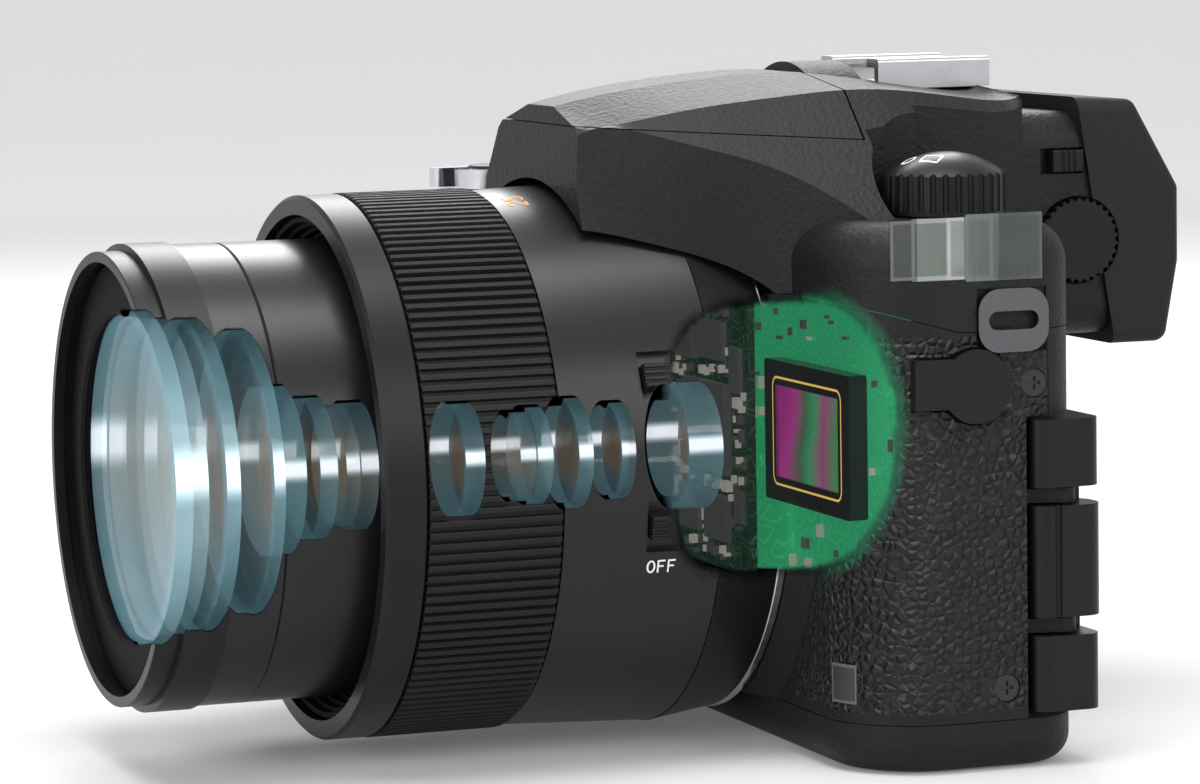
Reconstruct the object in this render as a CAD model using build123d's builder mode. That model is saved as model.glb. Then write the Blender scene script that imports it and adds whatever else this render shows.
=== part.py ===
"""A bridge camera with a large zoom lens, shown with the lens run out.

The frame has +Z up, the lens looks along -Y, and +X is the camera's left-hand side.
The origin is the mouth of the tripod socket, on the base plane under the lens axis.
"""

from build123d import *
import math
import os

os.makedirs("parts", exist_ok=True)

# Whole camera, millimetres
axis_height = 41.5
body_left = 57.0
body_right = 79.8
body_front = 17.0
body_rear = 18.0
deck_height = 77.0
casing_wall = 1.8
seam_gap = 0.12
overrun = 60.0

# Plan of the body and its grip
corner_front_left = 14.0
corner_rear = 9.0
corner_valley = 7.0
grip_root = 48.0
grip_inner = 54.0
grip_outer = 71.0
grip_reach = 42.0
grip_shoulder = 20.0
corner_grip = 9.0
corner_grip_side = 12.0
deck_round = 6.0
base_round = 4.0

# Seams between the casings
base_seam = 7.0
top_seam = 62.0
top_seam_front = 66.4
rear_seam = 12.0
seam_bend = 1.6

# Lens barrel, radii and places along the axis (a place is measured ahead of the socket)
rim_place = 109.2
rim_radius = 32.5
rim_step_place = 105.8
ring_radius = 33.5
ring_rear_place = 99.4
thread_radius = 31.0
thread_length = 1.5
tube_radius = 33.1
tube_wall = 1.4
tube_rear_place = 46.0
tube_line_place = 92.0
tube_line_depth = 0.25
flange_place = 79.7
flange_radius = 39.4
flange_mouth_radius = 36.6
flange_rear_place = 74.0
flange_round = 0.5
rib_front_place = 73.4
rib_rear_place = 54.0
rib_radius = 39.5
rib_count = 96
rib_depth = 0.75
rib_land_share = 0.52
rib_floor_share = 0.62
rib_rise_share = 0.9
zoom_ring_bore = 37.3
zoom_ring_wall = 0.9
sleeve_radius = 37.0
sleeve_bore = 35.0
sleeve_front_place = 73.0
barrel_front_radius = 39.1
barrel_rear_radius = 40.1
barrel_rear_place = 30.4
collar_radius = 40.2
collar_rear_radius = 38.8
collar_rear_place = 20.9
trim_radius = 38.9
trim_width = 1.2
mount_sleeve_radius = 36.5
seat_gap = 0.05
stop_radius = 34.7
stop_width = 2.0
mount_plate_place = 15.0
mount_plate_thickness = 2.0
mount_plate_bore = 13.0
lens_well_radius = 37.8
ring_gap = 0.3
baffle_bore = 33.7
baffle_step = 0.6
baffle_front_place = 78.5
baffle_radius = 36.3
baffle_steps = 4

# Glass: place of the front edge, edge thickness, radius
front_glass_place = 105.3
front_glass_edge = 2.4
front_glass_radius = 24.1
second_glass_edge = 2.6
second_glass_radius = 22.8
third_glass_place = 97.6
third_glass_edge = 2.0
third_glass_radius = 22.6
fourth_glass_place = 90.2
fourth_glass_edge = 1.6
fourth_glass_radius = 20.7
variator_place = 86.4
variator_edge = 3.4
variator_radius = 12.4
variator_second_place = 80.4
variator_second_edge = 2.6
variator_second_radius = 10.5
variator_third_place = 76.0
variator_third_edge = 2.0
variator_third_radius = 8.9
variator_fourth_edge = 2.6
variator_fourth_radius = 9.5
relay_place = 57.9
relay_edge = 3.0
relay_radius = 8.5
focus_place = 48.9
focus_edge = 2.4
focus_radius = 6.8
focus_second_edge = 2.4
focus_second_radius = 7.4
focus_third_place = 40.4
focus_third_edge = 2.2
focus_third_radius = 8.4
rear_glass_place = 33.4
rear_glass_edge = 2.2
rear_glass_radius = 7.4
field_glass_place = 23.6
field_glass_edge = 5.4
field_glass_radius = 9.35
crown_share = 0.095
cement = 0.04
hollow_share = 0.06

# Cells that hold the glass, and the rods that carry them
cell_wall = 1.5
cell_lip = 0.7
lip_lean = 0.4
rod_offset = 17.5
rod_radius = 1.0
rod_front_place = 60.8
rod_clearance = 0.05
ear_radius = 2.4
ear_thickness = 2.0
web_thickness = 1.7
web_hole_radius = 1.9
retainer_thickness = 1.1
retainer_lift = 0.4
ear_arm = 3.2
rod_seat_inset = 0.4

# Hump over the lens
hump_front = 44.3
hump_rear = 22.5
hump_rise = 20.1
hump_half = 47.0
hump_lean = 2.5
lid_front_height = 90.4
lid_rear_height = 87.8
lid_rear_place = 4.2
lid_gap = 0.3
flash_half = 15.0
flash_front_place = 35.6
flash_rear_place = 20.0
flash_floor_height = 84.9
flash_pocket_margin = 2.2
flash_window_thickness = 1.0
dome_half = 11.0
dome_length = 8.0
dome_height = 98.1
dome_place = 0.0

# Hot shoe
shoe_width = 21.6
shoe_slot = 18.7
shoe_lip = 2.9
shoe_length = 18.0
shoe_place = 6.6
shoe_plate = 1.0
shoe_base_height = 94.0
shoe_slot_height = 2.1
shoe_top_height = 98.4

# Viewfinder
finder_half = 25.6
finder_front = 14.0
finder_back = 38.6
finder_floor = 57.4
finder_roof = 90.4
finder_round = 5.0
finder_axis_height = 70.6
finder_bore_half = 12.6
finder_bore_height = 10.6
finder_display_place = 16.4
finder_display_depth = 3.0
finder_lens_place = 20.0
finder_lens_depth = 6.4
finder_eye_place = 29.0
finder_eye_depth = 5.6
finder_glass_gap = 0.1
eyecup_half = 26.4
eyecup_back = 48.4
eyecup_round = 4.0
eyecup_side = [
    (31.4, 92.6),
    (41.0, 92.0),
    (48.4, 79.0),
    (48.4, 68.0),
    (46.2, 56.0),
    (37.4, 56.0),
]
eye_opening_half = 15.0
eye_opening_height = 11.5

# Image sensor and boards
board_place = 1.8
board_thickness = 1.2
board_half = 31.0
board_low = 19.0
board_high = 64.0
board_corner = 6.0
sensor_width = 33.0
sensor_height = 21.5
sensor_depth = 2.9
sensor_window_width = 24.0
sensor_window_height = 14.0
main_board_place = 4.2
main_board_left = 12.6
main_board_right = 46.0
chip_thickness = 1.4
ribbon_thickness = 0.4
ribbon_width = 10.0
main_chips = [
    (-28.2, 41.0, 17.5, 14.0, 1.0),
    (-24.5, 27.0, 9.0, 7.0, 0.8),
    (-36.0, 27.5, 8.0, 7.0, 0.7),
    (-36.5, 53.5, 7.0, 5.0, 0.9),
    (-26.0, 54.5, 10.0, 6.0, 0.7),
    (-16.5, 50.5, 4.0, 7.0, 0.6),
    (-15.7, 29.5, 3.4, 5.0, 0.5),
]

# Battery and its door
battery_width = 13.5
battery_depth = 30.0
battery_height = 48.0
battery_center = 64.5
battery_place = 10.5
battery_floor = 3.4
door_width = 16.0
door_length = 33.0
door_thickness = 1.8
door_gap = 0.4
door_pin_radius = 0.75

# Articulated screen
screen_left = 57.9
screen_right = 21.6
screen_low = 7.9
screen_high = 49.2
screen_front = 9.3
screen_back = 19.8
screen_round = 2.5
screen_glass_inset = 4.0
screen_glass_depth = 0.8
screen_gap = 0.6
hinge_x = 54.4
hinge_y = 14.7
hinge_low = 21.2
hinge_high = 37.0
hinge_back = 20.2
hinge_ear = 2.0
hinge_ear_radius = 2.2
hinge_pin_radius = 1.0
hinge_gap = 0.3
pin_clearance = 0.04
hinge_notch = 4.2
swivel_radius = 1.5
hinge_block_round = 3.0

# Leather and rubber skins
skin_thickness = 0.9
skin_low = 8.6
skin_high = 61.4
leather_inner = 33.0
lens_flare_radius = 44.0

# Controls
dial_x = 38.0
dial_y = 5.0
drive_dial_radius = 8.6
drive_dial_height = 5.6
drive_dial_dome = 3.2
dial_gap = 0.3
dial_knurls = 30
knurl_radius = 0.45
tab_share = 0.6
pad_groove_share = 0.62
pad_button_share = 0.5
shaft_radius = 1.8
shaft_depth = 3.0
lever_hub_radius = 3.2
thumb_pin_radius = 1.2
post_radius = 1.8
mode_dial_x = 45.0
mode_dial_y = 4.0
mode_dial_radius = 10.5
mode_dial_height = 7.5
release_x = 61.5
release_y = 28.0
lever_radius = 8.4
lever_height = 3.0
lever_tab = 6.5
lever_gap = 0.3
button_radius = 5.2
button_height = 1.6
button_travel = 0.8
power_x = 63.5
power_y = 8.0
power_radius = 6.0
power_height = 3.0
record_x = 62.0
record_y = 12.0
record_radius = 3.0
record_height = 1.2
rear_dial_x = 55.0
rear_dial_y = 11.6
rear_dial_radius = 8.0
rear_dial_height = 3.6
rear_dial_low = 70.0
switch_place = 38.7
switch_width = 5.6
switch_height = 7.6
switch_depth = 1.3
switch_knob_height = 3.4
switch_raise = 0.9
grip_pitch = 0.9
grip_groove = 0.25
upper_switch_rise = 14.6
lower_switch_rise = -6.4
flash_switch_place = 29.9
flash_switch_height = 83.3
flash_switch_length = 5.0
flash_switch_width = 3.2
flash_switch_raise = 1.0
flash_switch_depth = 1.4
flash_switch_travel = 1.6
diopter_place = 31.6
diopter_height = 71.6
diopter_radius = 6.2
diopter_thickness = 2.2
diopter_raise = 1.1
cover_front = 8.8
cover_strip = 8.4
cover_low = 51.4
cover_high = 58.4
cover_disc_place = 0.6
cover_disc_height = 54.4
cover_disc_radius = 5.2
cover_thickness = 1.7
cover_raise = 0.9
cover_gap = 0.3
lug_place = 6.4
lug_height = 63.4
lug_length = 10.8
lug_width = 9.0
lug_slot_length = 7.6
lug_slot_width = 2.6
lug_thickness = 1.3
lug_seat = 0.8
screw_head_radius = 1.9
screw_shank_radius = 0.8
screw_shank_length = 3.0
screw_head_depth = 0.6
pad_x = 62.0
pad_height = 26.0
pad_radius = 8.5
key_width = 4.6
key_height = 3.2
key_pitch = 8.2
key_low = 40.5
key_raise = 0.9
key_depth = 1.2
key_x = 36.0

# Tripod bush: quarter-inch socket in the base
tripod_radius = 3.175
tripod_depth = 5.5
bush_radius = 6.0

lens_plane = Plane(origin=(0, 0, axis_height), x_dir=(0, 1, 0), z_dir=(1, 0, 0))
lens_axis = Axis((0, 0, axis_height), (0, 1, 0))


def finish(name, part):
    """Label a finished piece and write it."""
    part.label = name
    export_step(part, f"parts/{name}.step")


def turned(*corners):
    """A solid turned about the lens axis; corners are (place ahead of the socket, radius)."""
    with BuildPart() as ring:
        with BuildSketch(lens_plane):
            with BuildLine():
                Polyline(*[(-place, radius) for place, radius in corners], close=True)
            make_face()
        revolve(axis=lens_axis)
    return ring.part


def tube(front, rear, outer, inner):
    """A plain tube on the lens axis between two places."""
    return turned((front, outer), (rear, outer), (rear, inner), (front, inner))


def disc(front, rear, radius):
    """A plain disc on the lens axis between two places."""
    return turned((front, radius), (rear, radius), (rear, 0), (front, 0))


def block(x_low, x_high, y_low, y_high, z_low, z_high):
    """A square region of space between two corners."""
    with BuildPart() as region:
        with BuildSketch(Plane.XY.offset(z_low)):
            with Locations(((x_low + x_high) / 2, (y_low + y_high) / 2)):
                Rectangle(x_high - x_low, y_high - y_low)
        extrude(amount=z_high - z_low)
    return region.part


def glass(place, edge, radius, front_crown, rear_crown):
    """A lens element: an edge band with a spherical crown on each face, minus for a hollow."""
    def face_line(start, crown, sign):
        """Half of one face, flat or part of a sphere, from the axis to the edge."""
        if crown == 0:
            return Line((start, 0), (start, radius))
        sphere = (radius**2 + crown**2) / (2 * abs(crown))
        sag = math.copysign(sphere - math.sqrt(sphere**2 - (radius / 2) ** 2), crown)
        return ThreePointArc(
            (start + sign * crown, 0), (start + sign * (crown - sag), radius / 2), (start, radius)
        )

    with BuildPart() as element:
        with BuildSketch(lens_plane):
            with BuildLine():
                face_line(-place, front_crown, -1)
                Line((-place, radius), (-place + edge, radius))
                face_line(-place + edge, rear_crown, 1)
                Line((-place + edge + rear_crown, 0), (-place - front_crown, 0))
            make_face()
        revolve(axis=lens_axis)
    return element.part


def body_plan(inset):
    """Plan outline of the body with its grip, drawn inwards by inset."""
    with BuildSketch() as plan:
        with BuildLine():
            FilletPolyline(
                (body_left, body_rear),
                (body_left, -body_front),
                (-grip_root, -body_front),
                (-grip_inner, -grip_reach),
                (-grip_outer, -grip_reach),
                (-body_right, -grip_shoulder),
                (-body_right, body_rear),
                radius=[
                    corner_rear,
                    corner_front_left,
                    corner_valley,
                    corner_grip,
                    corner_grip,
                    corner_grip_side,
                    corner_rear,
                ],
                close=True,
            )
        make_face()
        if inset:
            offset(amount=-inset)
    return plan.sketch


def body_block(inset):
    """The body without its hump, drawn inwards by inset on every side."""
    with BuildPart() as body:
        with BuildSketch(Plane.XY.offset(inset)):
            add(body_plan(inset))
        extrude(amount=deck_height - inset - inset)
        fillet(body.edges().group_by(Axis.Z)[-1], radius=deck_round - inset)
        fillet(body.edges().group_by(Axis.Z)[0], radius=base_round - inset)
    return body.part


# Stations along the hump from its front: place, roof, ridge and crease as shares of its size
hump_station_shares = [
    (0.0, 0.765, 0.33, 0.655, 0.372, 0.545, 0.566),
    (0.157, 0.872, 0.415, 0.705, 0.475, 0.6, 0.58),
    (0.326, 0.944, 0.455, 0.795, 0.625, 0.43, 0.64),
    (0.491, 0.985, 0.478, 0.85, 0.815, 0.13, 0.83),
    (0.596, 0.98, 0.5, 0.876, 0.957, -0.14, 0.965),
    (0.78, 0.9, 0.521, 0.84, 0.99, -0.2, 1.0),
    (1.0, 0.862, 0.543, 0.8, 0.99, -0.2, 1.0),
]
hump_foot_share = -0.7


def hump_block(inset):
    """The hump: sections across the body, from the visor over the lens to the back of the shoe."""
    with BuildPart() as hump:
        for place, roof, ridge, ridge_rise, crease, crease_rise, foot in hump_station_shares:
            station = -hump_front + place * (hump_front + hump_rear)
            if place == 0:
                station = station + inset
            with BuildSketch(Plane.XZ.offset(-station)):
                with BuildLine():
                    half = [
                        (foot * hump_half - inset, deck_height + hump_foot_share * hump_rise),
                        (crease * hump_half - inset, deck_height + crease_rise * hump_rise - inset / 2),
                        (ridge * hump_half - inset, deck_height + ridge_rise * hump_rise - inset),
                        (ridge * hump_half / 3, deck_height + roof * hump_rise - inset),
                    ]
                    mirrored = [(-x, z) for x, z in reversed(half)]
                    Polyline(*half, *mirrored, close=True)
                make_face()
        loft()
    return hump.part


def rounded_box(x_half, y_low, y_high, z_low, z_high, corner, inset):
    """A box across the camera whose long corners are rounded, drawn inwards by inset."""
    with BuildPart() as shape:
        with BuildSketch(Plane.XZ.offset(-y_low)):
            with Locations((0, (z_low + z_high) / 2)):
                RectangleRounded(
                    2 * (x_half - inset), z_high - z_low - 2 * inset, corner - inset
                )
        extrude(amount=-(y_high - y_low))
    return shape.part


def above_plane(front_height, rear_height):
    """All space above a plane that runs from the visor's front to the back of the lid."""
    with BuildPart() as space:
        with BuildSketch(Plane.YZ):
            with BuildLine():
                Polyline(
                    (-hump_front - overrun, front_height),
                    (-hump_front, front_height),
                    (-lid_rear_place, rear_height),
                    (-lid_rear_place, axis_height + overrun + overrun),
                    (-hump_front - overrun, axis_height + overrun + overrun),
                    close=True,
                )
            make_face()
        extrude(amount=overrun, both=True)
    return space.part


# Space above the seam of the top casing; the seam climbs towards the lens
with BuildPart() as top_space:
    with BuildSketch(Plane.YZ):
        with BuildLine():
            Polyline(
                (-grip_reach - overrun, top_seam_front),
                (-body_front, top_seam_front),
                (-seam_bend, top_seam),
                (overrun + overrun, top_seam),
                (overrun + overrun, axis_height + overrun + overrun),
                (-grip_reach - overrun, axis_height + overrun + overrun),
                close=True,
            )
        make_face()
    extrude(amount=overrun + overrun, both=True)

with BuildPart() as below_top:
    add(block(-2 * overrun, 2 * overrun, -2 * overrun, 2 * overrun, -overrun, 3 * overrun))
    with Locations((0, 0, -seam_gap)):
        add(top_space.part, mode=Mode.SUBTRACT)

body_outer = body_block(0)
body_inner = body_block(casing_wall)
hump_outer = hump_block(0)
hump_inner = hump_block(casing_wall)
lens_well = disc(hump_front + overrun, mount_plate_place - mount_plate_thickness - ring_gap, lens_well_radius)

screen_recess = block(
    -screen_right - screen_gap,
    body_left + overrun,
    screen_front - screen_gap - ring_gap,
    body_rear + overrun,
    base_seam - overrun,
    screen_high + screen_gap,
)

# Skins: grained leather on the left, rubber on the grip
with BuildPart() as side_leather:
    add(body_outer)
    add(body_block(skin_thickness), mode=Mode.SUBTRACT)
    add(
        block(leather_inner, body_left + overrun, -overrun, rear_seam - seam_gap, skin_low, skin_high),
        mode=Mode.INTERSECT,
    )
    add(disc(overrun, -overrun, lens_flare_radius), mode=Mode.SUBTRACT)
    add(below_top.part, mode=Mode.INTERSECT)
    add(screen_recess, mode=Mode.SUBTRACT)
leather_space = side_leather.part

with BuildPart() as grip_rubber:
    add(body_outer)
    add(body_block(skin_thickness), mode=Mode.SUBTRACT)
    add(
        block(
            -body_right - overrun,
            -grip_root - skin_thickness,
            -overrun,
            lug_place - lug_length / 2 - ring_gap,
            skin_low,
            skin_high,
        ),
        mode=Mode.INTERSECT,
    )
finish("grip_rubber", grip_rubber.part)


def cover_outline(margin):
    """The microphone socket's cover seen from the side: a strip with a round end."""
    with BuildSketch(Plane.YZ.offset(body_left - overrun)) as outline:
        with Locations(
            (-cover_front + (cover_strip + cover_disc_radius / 2) / 2, (cover_low + cover_high) / 2)
        ):
            Rectangle(
                cover_strip + cover_disc_radius / 2 + 2 * margin, cover_high - cover_low + 2 * margin
            )
        with Locations((cover_disc_place, cover_disc_height)):
            Circle(cover_disc_radius + margin)
    return outline.sketch


def cover_prism(margin, inner, outer):
    """The cover's outline carried through the side wall between two distances from the axis."""
    with BuildPart() as prism:
        add(extrude(cover_outline(margin), amount=overrun + outer - body_left, mode=Mode.PRIVATE))
        add(block(-overrun, inner, -overrun, overrun, 0, 2 * overrun), mode=Mode.SUBTRACT)
    return prism.part


cover_inner = body_left + cover_raise - cover_thickness
cover_pocket = cover_prism(cover_gap, cover_inner - cover_gap, body_left + overrun / 2)

with BuildPart() as mic_cover:
    add(cover_prism(0, cover_inner, body_left + cover_raise))
finish("mic_cover", mic_cover.part)

screw_points = [(rear_seam - 2.4 * screw_head_radius / 2, cover_disc_height), (cover_disc_radius, skin_low + 1.6 * screw_head_radius)]


def screw_holes(radius, inner, outer):
    """Round holes along X at the two side screws."""
    with BuildPart() as holes:
        for place, height in screw_points:
            with BuildSketch(Plane.YZ.offset(inner)):
                with Locations((place, height)):
                    Circle(radius)
            extrude(amount=outer - inner)
    return holes.part


with BuildPart() as lug_boxes:
    for lug_low, lug_high in ((body_left - lug_seat, overrun), (-overrun - body_left, lug_seat - body_right)):
        add(
            block(
                lug_low,
                lug_high,
                lug_place - lug_length / 2,
                lug_place + lug_length / 2,
                lug_height - lug_width / 2,
                lug_height + lug_width / 2,
            )
        )

with BuildPart() as side_leather_cut:
    add(leather_space)
    add(cover_pocket, mode=Mode.SUBTRACT)
    add(screw_holes(screw_head_radius + seam_gap, 0, body_left + overrun), mode=Mode.SUBTRACT)
    add(lug_boxes.part, mode=Mode.SUBTRACT)
finish("side_leather", side_leather_cut.part)

# Front casing: the shell around the lens, with the hollow grip
with BuildPart() as flare:
    add(
        turned(
            (collar_rear_place - trim_width - 2 * seam_gap, lens_well_radius + casing_wall),
            (body_front - casing_wall, lens_flare_radius + casing_wall),
            (body_front - casing_wall, lens_well_radius),
            (collar_rear_place - trim_width - 2 * seam_gap, lens_well_radius),
        )
    )
    add(block(-overrun, overrun, -overrun, overrun, base_seam, deck_height), mode=Mode.INTERSECT)

bulkhead_front = mount_plate_place - mount_plate_thickness - ring_gap
with BuildPart() as bulkhead:
    add(body_inner)
    add(
        block(-grip_root, body_left, -bulkhead_front, casing_wall - bulkhead_front, base_seam, deck_height),
        mode=Mode.INTERSECT,
    )
    # A rib ties it to the front wall beside the grip
    add(
        block(
            -lens_flare_radius,
            casing_wall - lens_flare_radius,
            casing_wall / 3 - body_front,
            -bulkhead_front,
            base_seam,
            top_seam,
        )
    )
    add(disc(overrun, -overrun, mount_plate_bore + ring_gap), mode=Mode.SUBTRACT)

with BuildPart() as front_casing:
    add(body_outer)
    add(body_inner, mode=Mode.SUBTRACT)
    add(flare.part)
    add(bulkhead.part)
    add(below_top.part, mode=Mode.INTERSECT)
    add(
        block(-2 * overrun, 2 * overrun, -overrun, rear_seam, base_seam + seam_gap, deck_height),
        mode=Mode.INTERSECT,
    )
    add(lens_well, mode=Mode.SUBTRACT)
    add(leather_space, mode=Mode.SUBTRACT)
    add(grip_rubber.part, mode=Mode.SUBTRACT)
    add(screen_recess, mode=Mode.SUBTRACT)
    add(cover_pocket, mode=Mode.SUBTRACT)
    add(screw_holes(screw_shank_radius + pin_clearance, -2 * overrun, 2 * overrun), mode=Mode.SUBTRACT)
    add(
        screw_holes(screw_head_radius + seam_gap, -2 * overrun, screw_head_depth - body_right),
        mode=Mode.SUBTRACT,
    )
    # Posts on the bulkhead carry the main board
    with BuildSketch(Plane.XZ.offset(bulkhead_front - casing_wall / 2)):
        for post_x in (-main_board_right + 2 * post_radius, -main_board_left - 2 * post_radius):
            for post_z in (board_low + 2 * post_radius, board_high - casing_wall - 2 * post_radius):
                with Locations((post_x, post_z)):
                    Circle(post_radius)
    extrude(amount=-(bulkhead_front - casing_wall / 2 - main_board_place - board_thickness - seat_gap))
    add(lug_boxes.part, mode=Mode.SUBTRACT)
finish("front_casing", front_casing.part)


# Base cover: the tray below the seam, with the tripod bush and the battery door's opening
door_low_x = -battery_center - door_width / 2
door_high_x = -battery_center + door_width / 2
door_front_y = -battery_place - door_length / 2
door_back_y = -battery_place + door_length / 2
door_hinge_x = door_high_x - door_thickness / 2
door_opening = block(
    door_low_x - door_gap, door_high_x + door_gap, door_front_y - door_gap, door_back_y + door_gap, -overrun, base_seam
)

with BuildPart() as base_ledge:
    add(body_outer)
    add(
        block(
            -screen_right - screen_gap - casing_wall,
            overrun,
            screen_front - screen_gap - casing_wall,
            overrun,
            base_seam - casing_wall,
            base_seam,
        ),
        mode=Mode.INTERSECT,
    )

with BuildPart() as base_cover:
    add(body_outer)
    add(body_inner, mode=Mode.SUBTRACT)
    add(block(-2 * overrun, 2 * overrun, -overrun, overrun, -overrun, base_seam), mode=Mode.INTERSECT)
    # A ledge closes the tray under the screen
    add(base_ledge.part)
    add(lens_well, mode=Mode.SUBTRACT)
    with BuildSketch(Plane.XY):
        Circle(bush_radius + casing_wall)
    extrude(amount=base_seam)
    with BuildSketch(Plane.XY):
        Circle(bush_radius)
    extrude(amount=base_seam, mode=Mode.SUBTRACT)
    add(door_opening, mode=Mode.SUBTRACT)
    # Two ears inside the opening carry the door's pin
    for ear_low in (door_front_y - door_gap, door_back_y + door_gap - ear_thickness):
        with BuildSketch(Plane.XZ.offset(-ear_low)):
            with Locations((door_hinge_x + door_gap, door_thickness)):
                Rectangle(2 * door_thickness, 2 * door_thickness, align=(Align.CENTER, Align.CENTER))
        extrude(amount=-ear_thickness)
    for ear_low in (door_front_y - door_gap, door_back_y + door_gap - ear_thickness):
        with Locations((door_hinge_x, ear_low + ear_thickness / 2, door_thickness / 2)):
            Cylinder(
                door_pin_radius + pin_clearance,
                ear_thickness + door_gap,
                rotation=(90, 0, 0),
                mode=Mode.SUBTRACT,
            )
finish("base_cover", base_cover.part)

with BuildPart() as tripod_bush:
    with BuildSketch(Plane.XY):
        Circle(bush_radius)
        Circle(tripod_radius, mode=Mode.SUBTRACT)
    extrude(amount=tripod_depth)
    with BuildSketch(Plane.XY.offset(tripod_depth)):
        Circle(bush_radius)
    extrude(amount=base_seam - tripod_depth)
finish("tripod_bush", tripod_bush.part)

# Battery and its door, hung on a pin along the inner edge
with BuildPart() as battery:
    with BuildSketch(Plane.XY.offset(battery_floor)):
        with Locations((-battery_center, -battery_place)):
            RectangleRounded(battery_width, battery_depth, door_thickness)
    extrude(amount=battery_height)
    chamfer(battery.edges().group_by(Axis.Z)[-1], length=cell_lip)
finish("battery", battery.part)

with BuildPart() as battery_door:
    with BuildSketch(Plane.XY):
        with Locations((-battery_center, -battery_place)):
            RectangleRounded(door_width, door_length, door_thickness)
    extrude(amount=door_thickness)
    for ear_low in (door_front_y - door_gap, door_back_y + door_gap - ear_thickness):
        add(
            block(
                door_hinge_x - 2 * door_thickness,
                door_high_x + door_gap,
                ear_low - door_gap,
                ear_low + ear_thickness + door_gap,
                -overrun,
                overrun,
            ),
            mode=Mode.SUBTRACT,
        )
    with Locations((door_hinge_x, -battery_place, door_thickness / 2)):
        Cylinder(door_pin_radius, door_length + door_gap, rotation=(90, 0, 0))
finish("battery_door", battery_door.part)

# Top casing: the deck, the hump with its visor, and the viewfinder housing
finder_outer = rounded_box(finder_half, finder_front, finder_back, finder_floor, finder_roof, finder_round, 0)
finder_inner = rounded_box(
    finder_half,
    finder_front - overrun / 2,
    finder_back - casing_wall,
    finder_floor,
    finder_roof,
    finder_round,
    casing_wall,
)

with BuildPart() as visor_lean:
    with BuildSketch(Plane.YZ):
        with BuildLine():
            Polyline(
                (-hump_front - overrun, axis_height + barrel_rear_radius),
                (-hump_front, axis_height + barrel_rear_radius),
                (-hump_front + hump_lean, deck_height + hump_rise),
                (-hump_front - overrun, deck_height + hump_rise),
                close=True,
            )
        make_face()
    extrude(amount=overrun, both=True)

def deck_pocket(margin):
    """Space over the deck beside the hump, where the dials stand, grown by margin."""
    with BuildPart() as pocket:
        with BuildSketch(Plane.XY.offset(deck_height - margin)):
            for x, y, radius in [
                (dial_x, dial_y, drive_dial_radius + casing_wall + margin),
                (-mode_dial_x, mode_dial_y, mode_dial_radius + casing_wall + margin),
            ]:
                side = math.copysign(overrun / 2, x)
                with Locations((x + side, y + overrun / 2)):
                    Rectangle(overrun + 2 * radius - 2 * casing_wall, overrun + 2 * radius - 2 * casing_wall)
                with Locations((x, y)):
                    Circle(radius)
        extrude(amount=overrun)
    return pocket.part


barrel_clearance = disc(overrun + hump_front, mount_plate_place, barrel_rear_radius + ring_gap + ring_gap)
lid_space = above_plane(lid_front_height, lid_rear_height)
lid_opening_space = above_plane(lid_front_height - lid_gap / 2, lid_rear_height - lid_gap / 2)

flash_box = block(
    -flash_half, flash_half, -flash_front_place, -flash_rear_place, flash_floor_height, deck_height + hump_rise
)
flash_pocket = block(
    -flash_half - lid_gap,
    flash_half + lid_gap,
    -flash_front_place - flash_pocket_margin,
    -flash_rear_place + lid_gap,
    flash_floor_height - lid_gap,
    deck_height + hump_rise + overrun,
)

with BuildPart() as microphone_dome:
    with BuildSketch(Plane.XZ.offset(-dome_place)):
        with BuildLine():
            ThreePointArc(
                (-dome_half, deck_height + hump_rise - casing_wall),
                (0, dome_height),
                (dome_half, deck_height + hump_rise - casing_wall),
            )
            Line(
                (dome_half, deck_height + hump_rise - casing_wall),
                (-dome_half, deck_height + hump_rise - casing_wall),
            )
        make_face()
    extrude(amount=dome_length / 2, both=True)


def upright(x, y, radius, low, high):
    """An upright cylinder between two heights."""
    with BuildPart() as column:
        with BuildSketch(Plane.XY.offset(low)):
            with Locations((x, y)):
                Circle(radius)
        extrude(amount=high - low)
    return column.part


# Bores in the deck for the shafts of the dials and of the release
with BuildPart() as deck_bores:
    for bore_x, bore_y, bore_radius in [
        (dial_x, dial_y, shaft_radius),
        (-mode_dial_x, mode_dial_y, shaft_radius),
        (-release_x, -release_y, lever_hub_radius),
        (-power_x, power_y, shaft_radius),
        (-record_x, -record_y, shaft_radius),
    ]:
        add(upright(bore_x, bore_y, bore_radius + pin_clearance, deck_height - deck_round, deck_height + overrun))
    # Well of the movie button, and the slot and pin hole of the thumb dial
    add(upright(-record_x, -record_y, record_radius + dial_gap, deck_height - casing_wall / 2, deck_height + overrun))
    add(
        upright(
            -rear_dial_x,
            rear_dial_y,
            rear_dial_radius + dial_gap,
            rear_dial_low - dial_gap,
            rear_dial_low + rear_dial_height + dial_gap,
        )
    )
    add(
        upright(
            -rear_dial_x,
            rear_dial_y,
            thumb_pin_radius + pin_clearance,
            rear_dial_low,
            deck_height - casing_wall / 2,
        )
    )


def hump_rear_trim(margin):
    """Space behind the dials, where only the deck and the middle of the hump go on."""
    with BuildPart() as trim:
        for side in (1, -1):
            low, high = sorted((side * (finder_half + casing_wall / 2 - margin), side * 2 * overrun))
            add(block(low, high, dial_y - margin, 2 * overrun, 0, 3 * overrun))
    return trim.part


with BuildPart() as hump_shell:
    add(hump_outer)
    add(hump_rear_trim(0), mode=Mode.SUBTRACT)
    add(visor_lean.part, mode=Mode.SUBTRACT)
    add(top_space.part, mode=Mode.INTERSECT)

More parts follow.
